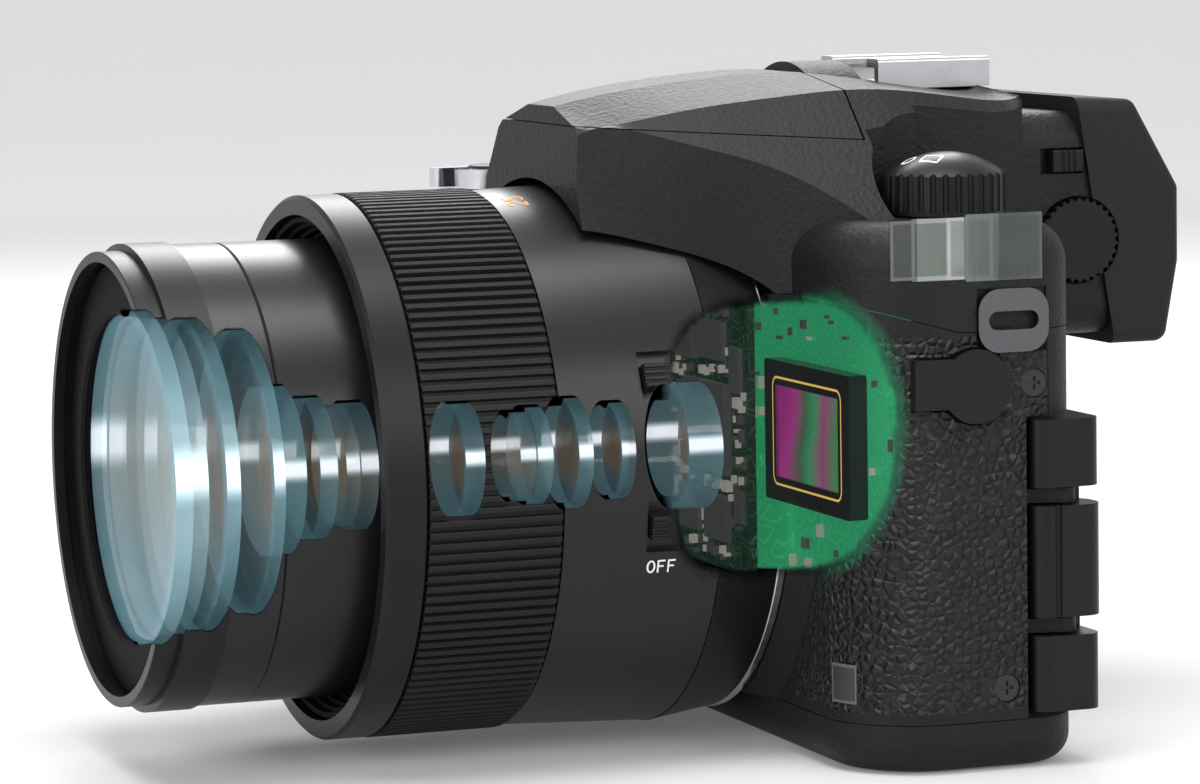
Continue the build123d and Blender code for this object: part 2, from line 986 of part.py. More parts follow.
with BuildPart() as hump_hollow:
    add(hump_inner)
    add(deck_pocket(casing_wall), mode=Mode.SUBTRACT)
    add(
        block(-overrun, overrun, -hump_front - overrun, hump_rear - casing_wall, 0, 3 * overrun),
        mode=Mode.INTERSECT,
    )
    add(hump_rear_trim(casing_wall), mode=Mode.SUBTRACT)
    with BuildSketch(Plane.YZ):
        with BuildLine():
            Polyline(
                (-hump_front - overrun, axis_height),
                (-hump_front + casing_wall, axis_height),
                (-hump_front + casing_wall, axis_height + barrel_rear_radius),
                (-hump_front + hump_lean + casing_wall, deck_height + hump_rise),
                (-hump_front - overrun, deck_height + hump_rise),
                close=True,
            )
        make_face()
    extrude(amount=overrun, both=True, mode=Mode.SUBTRACT)

# A floor over the barrel closes the hump from below
barrel_roof = disc(
    overrun + hump_front, collar_rear_place - casing_wall, barrel_rear_radius + 2 * ring_gap + casing_wall
)

with BuildPart() as top_hollow:
    add(body_inner)
    add(hump_hollow.part)
    add(finder_inner)
    add(barrel_roof, mode=Mode.SUBTRACT)

with BuildPart() as lid_bay:
    add(hump_outer)
    add(lid_opening_space, mode=Mode.INTERSECT)

with BuildPart() as shoe_seat:
    with BuildSketch(Plane.XY.offset(shoe_base_height)):
        with Locations((0, shoe_place + shoe_length / 2)):
            Rectangle(shoe_width, shoe_length)
    extrude(amount=overrun)

bore_half = finder_bore_half + finder_glass_gap
bore_rise = finder_bore_height + finder_glass_gap
finder_bore = block(
    -bore_half,
    bore_half,
    finder_display_place,
    finder_back + overrun,
    finder_axis_height - bore_rise,
    finder_axis_height + bore_rise,
)

flash_switch_slot = block(
    finder_half - flash_switch_depth,
    finder_half + overrun,
    flash_switch_place - flash_switch_length / 2 - flash_switch_travel,
    flash_switch_place + flash_switch_length / 2 + dial_gap,
    flash_switch_height - flash_switch_width / 2 - dial_gap,
    flash_switch_height + flash_switch_width / 2 + dial_gap,
)

with BuildPart() as diopter_well:
    with BuildSketch(Plane.YZ.offset(finder_half - 2 * casing_wall)):
        with Locations((diopter_place, diopter_height)):
            Circle(thumb_pin_radius + pin_clearance)
    extrude(amount=2 * casing_wall)
    with BuildSketch(Plane.YZ.offset(finder_half - diopter_thickness + diopter_raise - dial_gap)):
        with Locations((diopter_place, diopter_height)):
            Circle(diopter_radius + dial_gap)
    extrude(amount=overrun)

with BuildPart() as top_casing:
    add(body_outer)
    add(top_space.part, mode=Mode.INTERSECT)
    add(hump_shell.part)
    add(deck_pocket(0), mode=Mode.SUBTRACT)
    add(finder_outer)
    add(top_hollow.part, mode=Mode.SUBTRACT)
    # The viewfinder's tunnel keeps a wall of its own round the optics
    add(
        block(
            -bore_half - casing_wall,
            bore_half + casing_wall,
            finder_display_place - casing_wall,
            finder_back - casing_wall / 2,
            finder_axis_height - bore_rise - casing_wall,
            finder_axis_height + bore_rise + casing_wall,
        )
    )
    add(finder_bore, mode=Mode.SUBTRACT)
    add(barrel_clearance, mode=Mode.SUBTRACT)
    add(microphone_dome.part)
    # The bay of the flash head has a floor of its own under the lid
    add(
        block(
            -flash_half - lid_gap - casing_wall,
            flash_half + lid_gap + casing_wall,
            -flash_front_place - flash_pocket_margin - casing_wall / 2,
            -lid_rear_place,
            flash_floor_height - lid_gap - casing_wall / 2,
            lid_rear_height - lid_gap / 2,
        )
    )
    add(flash_pocket, mode=Mode.SUBTRACT)
    add(lid_bay.part, mode=Mode.SUBTRACT)
    add(barrel_clearance, mode=Mode.SUBTRACT)
    add(shoe_seat.part, mode=Mode.SUBTRACT)
    add(flash_switch_slot, mode=Mode.SUBTRACT)
    add(diopter_well.part, mode=Mode.SUBTRACT)
    add(deck_bores.part, mode=Mode.SUBTRACT)
    add(lug_boxes.part, mode=Mode.SUBTRACT)
finish("top_casing", top_casing.part)

# Flash head: the front of the hump as a lid, with the lamp box under it
with BuildPart() as lamp_box:
    add(hump_outer)
    add(flash_box, mode=Mode.INTERSECT)

with BuildPart() as flash_head:
    add(hump_outer)
    add(visor_lean.part, mode=Mode.SUBTRACT)
    add(lid_space, mode=Mode.INTERSECT)
    add(
        block(-overrun, overrun, -overrun, -lid_rear_place - lid_gap, 0, 3 * overrun), mode=Mode.INTERSECT
    )
    add(lamp_box.part)
    add(
        block(
            flash_window_thickness - flash_half,
            flash_half - flash_window_thickness,
            -flash_front_place - overrun,
            flash_window_thickness - flash_front_place,
            flash_floor_height + flash_window_thickness,
            lid_rear_height,
        ),
        mode=Mode.SUBTRACT,
    )
finish("flash_head", flash_head.part)

with BuildPart() as flash_window:
    add(
        block(
            flash_window_thickness - flash_half,
            flash_half - flash_window_thickness,
            -flash_front_place,
            flash_window_thickness - flash_front_place,
            flash_floor_height + flash_window_thickness,
            lid_rear_height,
        )
    )
finish("flash_window", flash_window.part)

# Hot shoe: a plate folded up and over on both sides
with BuildPart() as hot_shoe:
    with BuildSketch(Plane.XZ.offset(-shoe_place)):
        with Locations((0, (shoe_base_height + shoe_top_height) / 2)):
            Rectangle(shoe_width, shoe_top_height - shoe_base_height)
        with Locations((0, shoe_base_height + shoe_plate + shoe_slot_height / 2)):
            Rectangle(shoe_slot, shoe_slot_height, mode=Mode.SUBTRACT)
        with Locations((0, shoe_top_height)):
            Rectangle(
                shoe_slot - 2 * shoe_lip,
                2 * (shoe_top_height - shoe_base_height - shoe_plate),
                mode=Mode.SUBTRACT,
            )
    extrude(amount=-shoe_length)
    fillet(hot_shoe.edges().filter_by(Axis.Y).group_by(Axis.Z)[-1], radius=shoe_plate / 2)
finish("hot_shoe", hot_shoe.part)

# Rear casing: the back shell with the bay of the articulated screen
bay_wall = block(
    -screen_right - screen_gap - casing_wall,
    body_left,
    screen_front - screen_gap - ring_gap - casing_wall,
    body_rear,
    base_seam + seam_gap,
    screen_high + screen_gap + casing_wall,
)

with BuildPart() as finder_seat:
    add(
        rounded_box(
            finder_half + seam_gap,
            finder_front,
            finder_back,
            finder_floor - seam_gap,
            finder_roof,
            finder_round,
            0,
        )
    )

bay_back = screen_front - screen_gap - ring_gap

with BuildPart() as bay_core:
    add(body_block(casing_wall + seam_gap))
    add(bay_wall, mode=Mode.INTERSECT)

with BuildPart() as bay_shell:
    add(body_outer)
    add(bay_wall, mode=Mode.INTERSECT)
    add(block(-overrun, overrun, -overrun, rear_seam + seam_gap, 0, deck_height), mode=Mode.SUBTRACT)

ear_inner = hinge_x - hinge_ear_radius
ear_foot = body_left - casing_wall - 2 * seam_gap
with BuildPart() as hinge_ears:
    for ear_low in (hinge_low - hinge_gap - hinge_ear, hinge_high + hinge_gap):
        with BuildSketch(Plane.XY.offset(ear_low)):
            with Locations((hinge_x, hinge_y)):
                Circle(hinge_ear_radius)
            with BuildLine():
                Polyline(
                    (ear_inner, hinge_y),
                    (hinge_x + hinge_ear_radius, hinge_y),
                    (ear_foot, bay_back + seam_gap),
                    (ear_foot, bay_back - casing_wall / 2),
                    (ear_inner, bay_back - casing_wall / 2),
                    close=True,
                )
            make_face()
            with Locations((hinge_x, hinge_y)):
                Circle(hinge_pin_radius + pin_clearance, mode=Mode.SUBTRACT)
        extrude(amount=hinge_ear)

# Posts on the back of the bay carry the sensor board
with BuildPart() as board_posts:
    with BuildSketch(Plane.XZ.offset(-(board_place + board_thickness + seat_gap))):
        for post_x in (board_corner - board_half, board_half - board_corner):
            for post_z in (board_low + board_corner, board_high - 2 * board_corner - casing_wall):
                with Locations((post_x, post_z)):
                    Circle(post_radius)
    extrude(amount=-(bay_back - casing_wall / 2 - board_place - board_thickness - seat_gap))

with BuildPart() as rear_casing:
    add(body_outer)
    add(body_inner, mode=Mode.SUBTRACT)
    add(
        block(-2 * overrun, overrun, rear_seam + seam_gap, overrun, base_seam + seam_gap, top_seam - seam_gap),
        mode=Mode.INTERSECT,
    )
    add(bay_shell.part)
    add(bay_core.part)
    add(screen_recess, mode=Mode.SUBTRACT)
    add(hinge_ears.part)
    add(board_posts.part)
    add(finder_seat, mode=Mode.SUBTRACT)
    with BuildSketch(Plane.XZ.offset(-body_rear - overrun)):
        for row in (0, 1):
            with Locations((-key_x, key_low + row * key_pitch)):
                Rectangle(key_width + dial_gap, key_height + dial_gap)
        with Locations((-pad_x, pad_height)):
            Circle(pad_radius + dial_gap)
    extrude(amount=overrun + key_depth, mode=Mode.SUBTRACT)
finish("rear_casing", rear_casing.part)

# Fixed lens barrel: outer skirt with the two switch bays, sleeve under the zoom ring, mount plate
mount_rear_place = mount_plate_place - mount_plate_thickness
switch_turns = [
    math.degrees(math.asin(upper_switch_rise / barrel_rear_radius)),
    math.degrees(math.asin(lower_switch_rise / barrel_rear_radius)),
]


def on_barrel(part, turn):
    """Turn a piece made beside the lens (+X) round the lens axis."""
    return part.rotate(lens_axis, -turn)


switch_bay = block(
    barrel_front_radius - switch_depth,
    overrun,
    -switch_place - switch_width / 2,
    -switch_place + switch_width / 2,
    axis_height - switch_height / 2,
    axis_height + switch_height / 2,
)

with BuildPart() as rod_bores:
    for side in (1, -1):
        with BuildSketch(Plane.XZ.offset(mount_plate_place + overrun)):
            with Locations((0, axis_height + side * rod_offset)):
                Circle(rod_radius + pin_clearance)
        extrude(amount=-2 * overrun)

with BuildPart() as fixed_barrel:
    add(
        turned(
            (sleeve_front_place, sleeve_radius),
            (rib_rear_place - ring_gap, sleeve_radius),
            (rib_rear_place - ring_gap, barrel_front_radius),
            (barrel_rear_place, barrel_rear_radius),
            (barrel_rear_place, mount_sleeve_radius),
            (mount_rear_place, mount_sleeve_radius),
            (mount_rear_place, mount_plate_bore),
            (mount_plate_place, mount_plate_bore),
            (mount_plate_place, sleeve_bore),
            (sleeve_front_place, sleeve_bore),
        )
    )
    add(rod_bores.part, mode=Mode.SUBTRACT)
    for turn in switch_turns:
        add(on_barrel(switch_bay, turn), mode=Mode.SUBTRACT)
finish("fixed_barrel", fixed_barrel.part)


def barrel_switch(turn):
    """A sliding knob in one of the bays, with three grip grooves."""
    with BuildPart() as knob:
        add(
            block(
                barrel_front_radius - switch_depth + ring_gap,
                barrel_rear_radius + switch_raise,
                -switch_place - switch_width / 2 + ring_gap,
                -switch_place + switch_width / 2 - ring_gap,
                axis_height - switch_knob_height / 2,
                axis_height + switch_knob_height / 2,
            )
        )
        fillet(knob.edges().group_by(Axis.X)[-1], radius=seam_gap * 2)
        with BuildSketch(Plane.XZ.offset(switch_place + switch_width)):
            for step in (-1, 0, 1):
                with Locations((barrel_rear_radius + switch_raise, axis_height + step * grip_pitch)):
                    Circle(grip_groove)
        extrude(amount=-2 * switch_width, mode=Mode.SUBTRACT)
    return on_barrel(knob.part, turn)


finish("stabiliser_switch", barrel_switch(switch_turns[0]))
finish("focus_switch", barrel_switch(switch_turns[1]))

finish(
    "lens_collar",
    turned(
        (barrel_rear_place - seam_gap, collar_radius),
        (collar_rear_place, collar_rear_radius),
        (collar_rear_place, mount_sleeve_radius + seat_gap),
        (barrel_rear_place - seam_gap, mount_sleeve_radius + seat_gap),
    ),
)
trim_front_place = collar_rear_place - seam_gap
finish(
    "trim_ring",
    turned(
        (trim_front_place, trim_radius - seam_gap),
        (trim_front_place - seam_gap, trim_radius),
        (trim_front_place - trim_width + seam_gap, trim_radius),
        (trim_front_place - trim_width, trim_radius - seam_gap),
        (trim_front_place - trim_width, mount_sleeve_radius + seat_gap),
        (trim_front_place, mount_sleeve_radius + seat_gap),
    ),
)

# Light baffle in the mouth of the zoom ring: a ring of steps
baffle_rear_place = sleeve_front_place + seat_gap
baffle_pitch = (baffle_front_place - baffle_rear_place) / baffle_steps
baffle_corners = [(baffle_rear_place, baffle_radius), (baffle_front_place, baffle_radius)]
for step in range(baffle_steps):
    step_radius = baffle_bore + (baffle_steps - 1 - step) * baffle_step
    baffle_corners.append((baffle_front_place - step * baffle_pitch, step_radius))
    baffle_corners.append((baffle_front_place - (step + 1) * baffle_pitch, step_radius))
finish("light_baffle", turned(*baffle_corners))

# Zoom ring with its flange, and the ribbed rubber round it
rubber_bore = zoom_ring_bore + zoom_ring_wall
finish(
    "zoom_ring",
    turned(
        (flange_place, flange_radius - flange_round),
        (flange_place - flange_round, flange_radius),
        (flange_rear_place, flange_radius),
        (flange_rear_place, rubber_bore),
        (rib_rear_place, rubber_bore),
        (rib_rear_place, zoom_ring_bore),
        (sleeve_front_place + ring_gap + seat_gap, zoom_ring_bore),
        (sleeve_front_place + ring_gap + seat_gap, flange_mouth_radius),
        (flange_place, flange_mouth_radius),
    ),
)

rib_corners = []
for rib in range(rib_count):
    for share, radius in (
        (0, rib_radius),
        (rib_land_share, rib_radius),
        (rib_floor_share, rib_radius - rib_depth),
        (rib_rise_share, rib_radius - rib_depth),
    ):
        angle = 2 * math.pi * (rib + share) / rib_count
        rib_corners.append((radius * math.cos(angle), axis_height + radius * math.sin(angle)))

with BuildPart() as zoom_ring_rubber:
    with BuildSketch(Plane.XZ.offset(rib_front_place)):
        with BuildLine():
            Polyline(*rib_corners, close=True)
        make_face()
        with Locations((0, axis_height)):
            Circle(rubber_bore + seat_gap, mode=Mode.SUBTRACT)
    extrude(amount=rib_rear_place - rib_front_place)
finish("zoom_ring_rubber", zoom_ring_rubber.part)

# Moving front barrel, filter ring and retaining ring
tube_bore = tube_radius - tube_wall
finish(
    "front_barrel",
    turned(
        (ring_rear_place, tube_radius),
        (tube_line_place + tube_line_depth, tube_radius),
        (tube_line_place, tube_radius - tube_line_depth),
        (tube_line_place - tube_line_depth, tube_radius),
        (tube_rear_place + stop_width, tube_radius),
        (tube_rear_place + stop_width, stop_radius),
        (tube_rear_place, stop_radius),
        (tube_rear_place, tube_bore),
        (ring_rear_place, tube_bore),
    ),
)
finish(
    "filter_ring",
    turned(
        (rim_place, rim_radius - seam_gap),
        (rim_place - seam_gap, rim_radius),
        (rim_step_place, rim_radius),
        (rim_step_place - seam_gap, ring_radius),
        (ring_rear_place + seam_gap, ring_radius),
        (ring_rear_place + seam_gap, tube_bore),
        (rim_place - thread_length, tube_bore),
        (rim_place - thread_length, thread_radius),
        (rim_place, thread_radius),
    ),
)
retainer_rear_place = front_glass_place + seat_gap
finish(
    "front_retainer",
    turned(
        (retainer_rear_place + retainer_thickness + retainer_lift, front_glass_radius - seam_gap),
        (retainer_rear_place + retainer_thickness, thread_radius - seam_gap),
        (retainer_rear_place, thread_radius - seam_gap),
        (retainer_rear_place, front_glass_radius + retainer_lift),
        (retainer_rear_place + retainer_lift, front_glass_radius - cell_lip),
        (retainer_rear_place + retainer_thickness, front_glass_radius - cell_lip),
    ),
)


def glasses(*elements):
    """Several lens elements kept as separate solids of one piece."""
    return Compound([solid for element in elements for solid in element.solids()])


front_crown = crown_share * front_glass_radius
second_glass_place = front_glass_place - front_glass_edge - cement
variator_fourth_place = variator_third_place - variator_third_edge - cement
focus_second_place = focus_place - focus_edge - cement
finish(
    "front_lens_pair",
    glasses(
        glass(front_glass_place, front_glass_edge, front_glass_radius, front_crown, 0),
        glass(second_glass_place, second_glass_edge, second_glass_radius, 0, -hollow_share * front_crown),
    ),
)
finish(
    "second_lens",
    glass(third_glass_place, third_glass_edge, third_glass_radius, crown_share * third_glass_radius, 0),
)
finish(
    "third_lens",
    glass(
        fourth_glass_place,
        fourth_glass_edge,
        fourth_glass_radius,
        crown_share * fourth_glass_radius / 2,
        -hollow_share * fourth_glass_radius / 2,
    ),
)
finish(
    "variator_lenses",
    glasses(
        glass(
            variator_place,
            variator_edge,
            variator_radius,
            crown_share * variator_radius / 2,
            -crown_share * variator_radius,
        ),
        glass(
            variator_second_place,
            variator_second_edge,
            variator_second_radius,
            -hollow_share * variator_second_radius,
            -hollow_share * variator_second_radius,
        ),
        glass(
            variator_third_place,
            variator_third_edge,
            variator_third_radius,
            crown_share * variator_third_radius,
            0,
        ),
        glass(
            variator_fourth_place,
            variator_fourth_edge,
            variator_fourth_radius,
            0,
            -hollow_share * variator_fourth_radius,
        ),
    ),
)
finish(
    "relay_lens",
    glass(relay_place, relay_edge, relay_radius, crown_share * relay_radius, crown_share * relay_radius),
)
finish(
    "focus_lens_pair",
    glasses(
        glass(focus_place, focus_edge, focus_radius, crown_share * focus_radius, 0),
        glass(
            focus_second_place, focus_second_edge, focus_second_radius, 0, -hollow_share * focus_second_radius
        ),
    ),
)
finish(
    "focus_lens",
    glass(
        focus_third_place,
        focus_third_edge,
        focus_third_radius,
        crown_share * focus_third_radius,
        crown_share * focus_third_radius / 2,
    ),
)
finish(
    "rear_lens",
    glass(
        rear_glass_place,
        rear_glass_edge,
        rear_glass_radius,
        crown_share * rear_glass_radius,
        crown_share * rear_glass_radius,
    ),
)
finish(
    "field_lens",
    glass(
        field_glass_place,
        field_glass_edge,
        field_glass_radius,
        crown_share * field_glass_radius,
        hollow_share * field_glass_radius,
    ),
)

# Cells: turned holders with stepped seats; ears on the small ones run on two rods
third_glass_rear = third_glass_place - third_glass_edge
fourth_glass_rear = fourth_glass_place - fourth_glass_edge
second_glass_rear = second_glass_place - second_glass_edge
variator_rear = variator_place - variator_edge
variator_second_rear = variator_second_place - variator_second_edge
variator_fourth_rear = variator_fourth_place - variator_fourth_edge
web_front = fourth_glass_rear - cell_lip
web_rear = web_front - web_thickness
cell_radius = tube_bore - seat_gap
cell_skirt = front_glass_radius + seat_gap + cell_wall

with BuildPart() as front_lens_cell:
    add(
        turned(
            (front_glass_place, cell_radius),
            (web_rear, cell_radius),
            (web_rear, variator_radius + seat_gap + cell_wall),
            (variator_fourth_rear - cell_lip, variator_radius + seat_gap + cell_wall),
            (variator_fourth_rear - cell_lip, variator_fourth_radius - cell_lip),
            (variator_fourth_rear, variator_fourth_radius - cell_lip),
            (variator_fourth_rear, variator_fourth_radius + seat_gap),
            (variator_second_rear, variator_fourth_radius + seat_gap),
            (variator_second_rear, variator_second_radius + seat_gap),
            (variator_rear, variator_second_radius + seat_gap),
            (variator_rear, variator_radius + seat_gap),
            (web_front, variator_radius + seat_gap),
            (web_front, fourth_glass_radius - cell_lip),
            (fourth_glass_rear, fourth_glass_radius - cell_lip),
            (fourth_glass_rear, fourth_glass_radius + seat_gap),
            (third_glass_rear, fourth_glass_radius + seat_gap),
            (third_glass_rear, third_glass_radius + seat_gap),
            (second_glass_rear, third_glass_radius + seat_gap),
            (second_glass_rear, second_glass_radius + seat_gap),
            (second_glass_place, second_glass_radius + seat_gap),
            (second_glass_place, front_glass_radius + seat_gap),
            (front_glass_place, front_glass_radius + seat_gap),
        )
    )
    add(
        tube(front_glass_place - cell_wall, web_rear - cell_wall, cell_radius - cell_wall, cell_skirt),
        mode=Mode.SUBTRACT,
    )
    with BuildSketch(Plane.XZ.offset(web_front + cell_wall)):
        for side in (1, -1):
            with Locations((0, axis_height + side * rod_offset)):
                Circle(web_hole_radius)
    extrude(amount=-2 * cell_wall - web_thickness, mode=Mode.SUBTRACT)
finish("front_lens_cell", front_lens_cell.part)


def carried(ring, ring_radius, ear_place):
    """A turned cell with two arms whose ears slide on the rods."""
    with BuildPart() as carrier:
        add(ring)
        with BuildSketch(Plane.XZ.offset(ear_place)):
            for side in (1, -1):
                with Locations((0, axis_height + side * rod_offset)):
                    Circle(ear_radius)
                with Locations((0, axis_height + side * (ring_radius + rod_offset) / 2)):
                    Rectangle(ear_arm, rod_offset - ring_radius + cell_wall)
            for side in (1, -1):
                with Locations((0, axis_height + side * rod_offset)):
                    Circle(rod_radius + rod_clearance, mode=Mode.SUBTRACT)
        extrude(amount=-ear_thickness)
    return carrier.part


relay_front = relay_place + cell_lip
relay_rear = relay_place - relay_edge
relay_bore = relay_radius + seat_gap
finish(
    "relay_cell",
    carried(
        turned(
            (relay_front, relay_bore + cell_wall),
            (relay_rear - cell_lip, relay_bore + cell_wall),
            (relay_rear - cell_lip, relay_radius - cell_lip),
            (relay_rear - lip_lean, relay_radius - cell_lip),
            (relay_rear, relay_bore),
            (relay_front, relay_bore),
        ),
        relay_bore + cell_wall,
        relay_rear + ear_thickness,
    ),
)

focus_front = focus_place + cell_lip
focus_second_rear = focus_place - focus_edge
focus_rear = focus_third_place - focus_third_edge - cell_lip
focus_outer = focus_third_radius + seat_gap + cell_wall
finish(
    "focus_cell",
    carried(
        turned(
            (focus_front, focus_outer),
            (focus_rear, focus_outer),
            (focus_rear, focus_third_radius + seat_gap),
            (focus_third_place, focus_third_radius + seat_gap),
            (focus_third_place + lip_lean, focus_second_radius + seat_gap),
            (focus_second_rear, focus_second_radius + seat_gap),
            (focus_second_rear, focus_radius + seat_gap),
            (focus_place, focus_radius + seat_gap),
            (focus_place + lip_lean, focus_radius - cell_lip),
            (focus_front, focus_radius - cell_lip),
        ),
        focus_outer,
        focus_place,
    ),
)

rear_front = rear_glass_place + cell_lip
rear_end = field_glass_place - field_glass_edge - cell_lip
rear_outer = field_glass_radius + seat_gap + cell_wall
rear_neck = rear_glass_radius + seat_gap + cell_wall
finish(
    "rear_cell",
    carried(
        turned(
            (rear_front, rear_neck),
            (field_glass_place + 2 * cell_wall, rear_neck),
            (field_glass_place + cell_wall, rear_outer),
            (rear_end, rear_outer),
            (rear_end, field_glass_radius + seat_gap),
            (field_glass_place, field_glass_radius + seat_gap),
            (field_glass_place + lip_lean, rear_glass_radius + seat_gap),
            (rear_glass_place, rear_glass_radius + seat_gap),
            (rear_glass_place + lip_lean, rear_glass_radius - cell_lip),
            (rear_front, rear_glass_radius - cell_lip),
        ),
        rear_neck,
        rear_glass_place - cell_lip,
    ),
)

with BuildPart() as guide_rods:
    for side in (1, -1):
        with BuildSketch(Plane.XZ.offset(rod_front_place)):
            with Locations((0, axis_height + side * rod_offset)):
                Circle(rod_radius)
        extrude(amount=mount_rear_place + rod_seat_inset - rod_front_place)
finish("guide_rods", guide_rods.part)

# Image sensor on its board, with the ribbon that joins the two boards
with BuildPart() as image_sensor:
    with BuildSketch(Plane.XZ.offset(sensor_depth - board_place)):
        with Locations((0, axis_height)):
            RectangleRounded(sensor_width, sensor_height, cell_lip)
    extrude(amount=seat_gap - sensor_depth)
    with BuildSketch(Plane.XZ.offset(sensor_depth - board_place)):
        with Locations((0, axis_height)):
            Rectangle(sensor_window_width, sensor_window_height)
    extrude(amount=-ribbon_thickness, mode=Mode.SUBTRACT)
finish("image_sensor", image_sensor.part)

ribbon_end = -main_board_left - lug_thickness
ribbon_middle = (board_place - main_board_place) / 2
with BuildPart() as sensor_board:
    with BuildSketch(Plane.XZ.offset(-board_place)):
        with Locations((0, (board_low + board_high) / 2)):
            RectangleRounded(2 * board_half, board_high - board_low, board_corner)
        for side in (1, -1):
            for row in range(3):
                with Locations((side * (board_half - board_corner), axis_height + (row - 1) * board_corner)):
                    Circle(rod_radius, mode=Mode.SUBTRACT)
    extrude(amount=-board_thickness)
    with BuildSketch(Plane.XZ.offset(-board_place)):
        with Locations((ribbon_end - rod_radius, board_low + lug_thickness + ribbon_width / 2)):
            Rectangle(2 * rod_radius + ribbon_thickness, ribbon_width + ribbon_thickness)
    extrude(amount=2 * ribbon_thickness)
    with BuildSketch(Plane.XY.offset(board_low + lug_thickness)):
        with BuildLine():
            Line((ribbon_end, board_place), (ribbon_end, board_place - ribbon_thickness))
            ThreePointArc(
                (ribbon_end, board_place - ribbon_thickness),
                (ribbon_end + screen_round - ribbon_thickness, ribbon_middle),
                (ribbon_end, ribbon_thickness + seat_gap - main_board_place),
            )
            Line(
                (ribbon_end, ribbon_thickness + seat_gap - main_board_place),
                (ribbon_end, seat_gap - main_board_place),
            )
            ThreePointArc(
                (ribbon_end, seat_gap - main_board_place),
                (ribbon_end + screen_round, ribbon_middle),
                (ribbon_end, board_place),
            )
        make_face()
    extrude(amount=ribbon_width)
finish("sensor_board", sensor_board.part)

main_board_face = main_board_place + board_thickness
with BuildPart() as main_board:
    with BuildSketch(Plane.XZ.offset(main_board_face)):
        with Locations((-(main_board_left + main_board_right) / 2, (board_low + board_high - casing_wall) / 2)):
            RectangleRounded(
                main_board_right - main_board_left, board_high - board_low - casing_wall, chip_thickness
            )
    extrude(amount=-board_thickness)
    # Chips: place across and up, width and height, thickness as a share
    for chip_x, chip_z, chip_width, chip_rise, chip_share in main_chips:
        with BuildSketch(Plane.XZ.offset(main_board_face)):
            with Locations((chip_x, chip_z)):
                Rectangle(chip_width, chip_rise)
        extrude(amount=chip_thickness * chip_share)
finish("main_board", main_board.part)

# Viewfinder: display, two lenses cut square, and the rubber eyecup
finish(
    "viewfinder_display",
    block(
        -finder_bore_half,
        finder_bore_half,
        finder_display_place + seat_gap,
        finder_display_place + finder_display_depth,
        finder_axis_height - finder_bore_height,
        finder_axis_height + finder_bore_height,
    ),
)
eye_radius = math.hypot(finder_bore_half, finder_bore_height)


def eye_glass(place, depth):
    """A round lens of the viewfinder cut to the shape of its tunnel."""
    crown = depth / 3
    with BuildPart() as lens:
        add(glass(-place - crown, crown, eye_radius, crown, crown))
        add(
            block(
                -finder_bore_half,
                finder_bore_half,
                0,
                overrun,
                axis_height - finder_bore_height,
                axis_height + finder_bore_height,
            ),
            mode=Mode.INTERSECT,
        )
    return lens.part.translate(Vector(0, 0, finder_axis_height - axis_height))


finish(
    "viewfinder_lens",
    glasses(
        eye_glass(finder_lens_place, finder_lens_depth),
        eye_glass(finder_eye_place, finder_eye_depth),
    ),
)

with BuildPart() as eyecup:
    with BuildSketch(Plane.YZ.offset(-eyecup_half)):
        with BuildLine():
            Polyline(*eyecup_side, close=True)
        make_face()
    extrude(amount=2 * eyecup_half)
    fillet(
        eyecup.edges().filter_by(Axis.X).sort_by(Axis.Y)[-4:],
        radius=eyecup_round / 2,
    )
    fillet(eyecup.faces().sort_by(Axis.Y)[-1].edges().filter_by(Axis.X, reverse=True), radius=eyecup_round / 2)
    add(
        rounded_box(
            finder_half + seat_gap,
            0,
            finder_back + seat_gap,
            finder_floor - seat_gap,
            finder_roof + seat_gap,
            finder_round + seat_gap,
            0,
        ),
        mode=Mode.SUBTRACT,
    )
    add(diopter_well.part, mode=Mode.SUBTRACT)
    with BuildSketch(Plane.XZ.offset(-finder_back + casing_wall)):
        with Locations((0, finder_axis_height)):
            RectangleRounded(2 * finder_bore_half, 2 * finder_bore_height, finder_round / 2)
    with BuildSketch(Plane.XZ.offset(-eyecup_back - casing_wall)):
        with Locations((0, finder_axis_height)):
            RectangleRounded(2 * eye_opening_half, 2 * eye_opening_height, finder_round)
    loft(mode=Mode.SUBTRACT)
finish("eyecup", eyecup.part)

# Strap lugs let into both sides, and the side screws
with BuildPart() as strap_lugs:
    for lug_start in (body_left - lug_seat + seat_gap, lug_seat - body_right - seat_gap - lug_thickness):
        with BuildSketch(Plane.YZ.offset(lug_start)):
            with Locations((lug_place, lug_height)):
                RectangleRounded(
                    lug_length - 2 * seat_gap, lug_width - 2 * seat_gap, lug_width / 2 - lug_thickness
                )
            with Locations((lug_place, lug_height)):
                SlotOverall(lug_slot_length, lug_slot_width, mode=Mode.SUBTRACT)
        extrude(amount=lug_thickness)
finish("strap_lugs", strap_lugs.part)

with BuildPart() as case_screws:
    for side, screw_face in (
        (1, body_left - skin_thickness + seat_gap),
        (-1, screw_head_depth - body_right - seat_gap),
    ):
        for screw_y, screw_z in screw_points:
            with BuildSketch(Plane.YZ.offset(screw_face)):
                with Locations((screw_y, screw_z)):
                    Circle(screw_head_radius)
            extrude(amount=side * screw_head_depth)
            with BuildSketch(Plane.YZ.offset(screw_face)):
                with Locations((screw_y, screw_z)):
                    Circle(screw_shank_radius)
            extrude(amount=-side * screw_shank_length)
            with BuildSketch(Plane.YZ.offset(screw_face + side * screw_head_depth)):
                with Locations((screw_y, screw_z)):
                    Rectangle(screw_head_radius, knurl_radius)
                    Rectangle(knurl_radius, screw_head_radius)
            extrude(amount=-side * screw_head_depth / 2, mode=Mode.SUBTRACT)
finish("case_screws", case_screws.part)


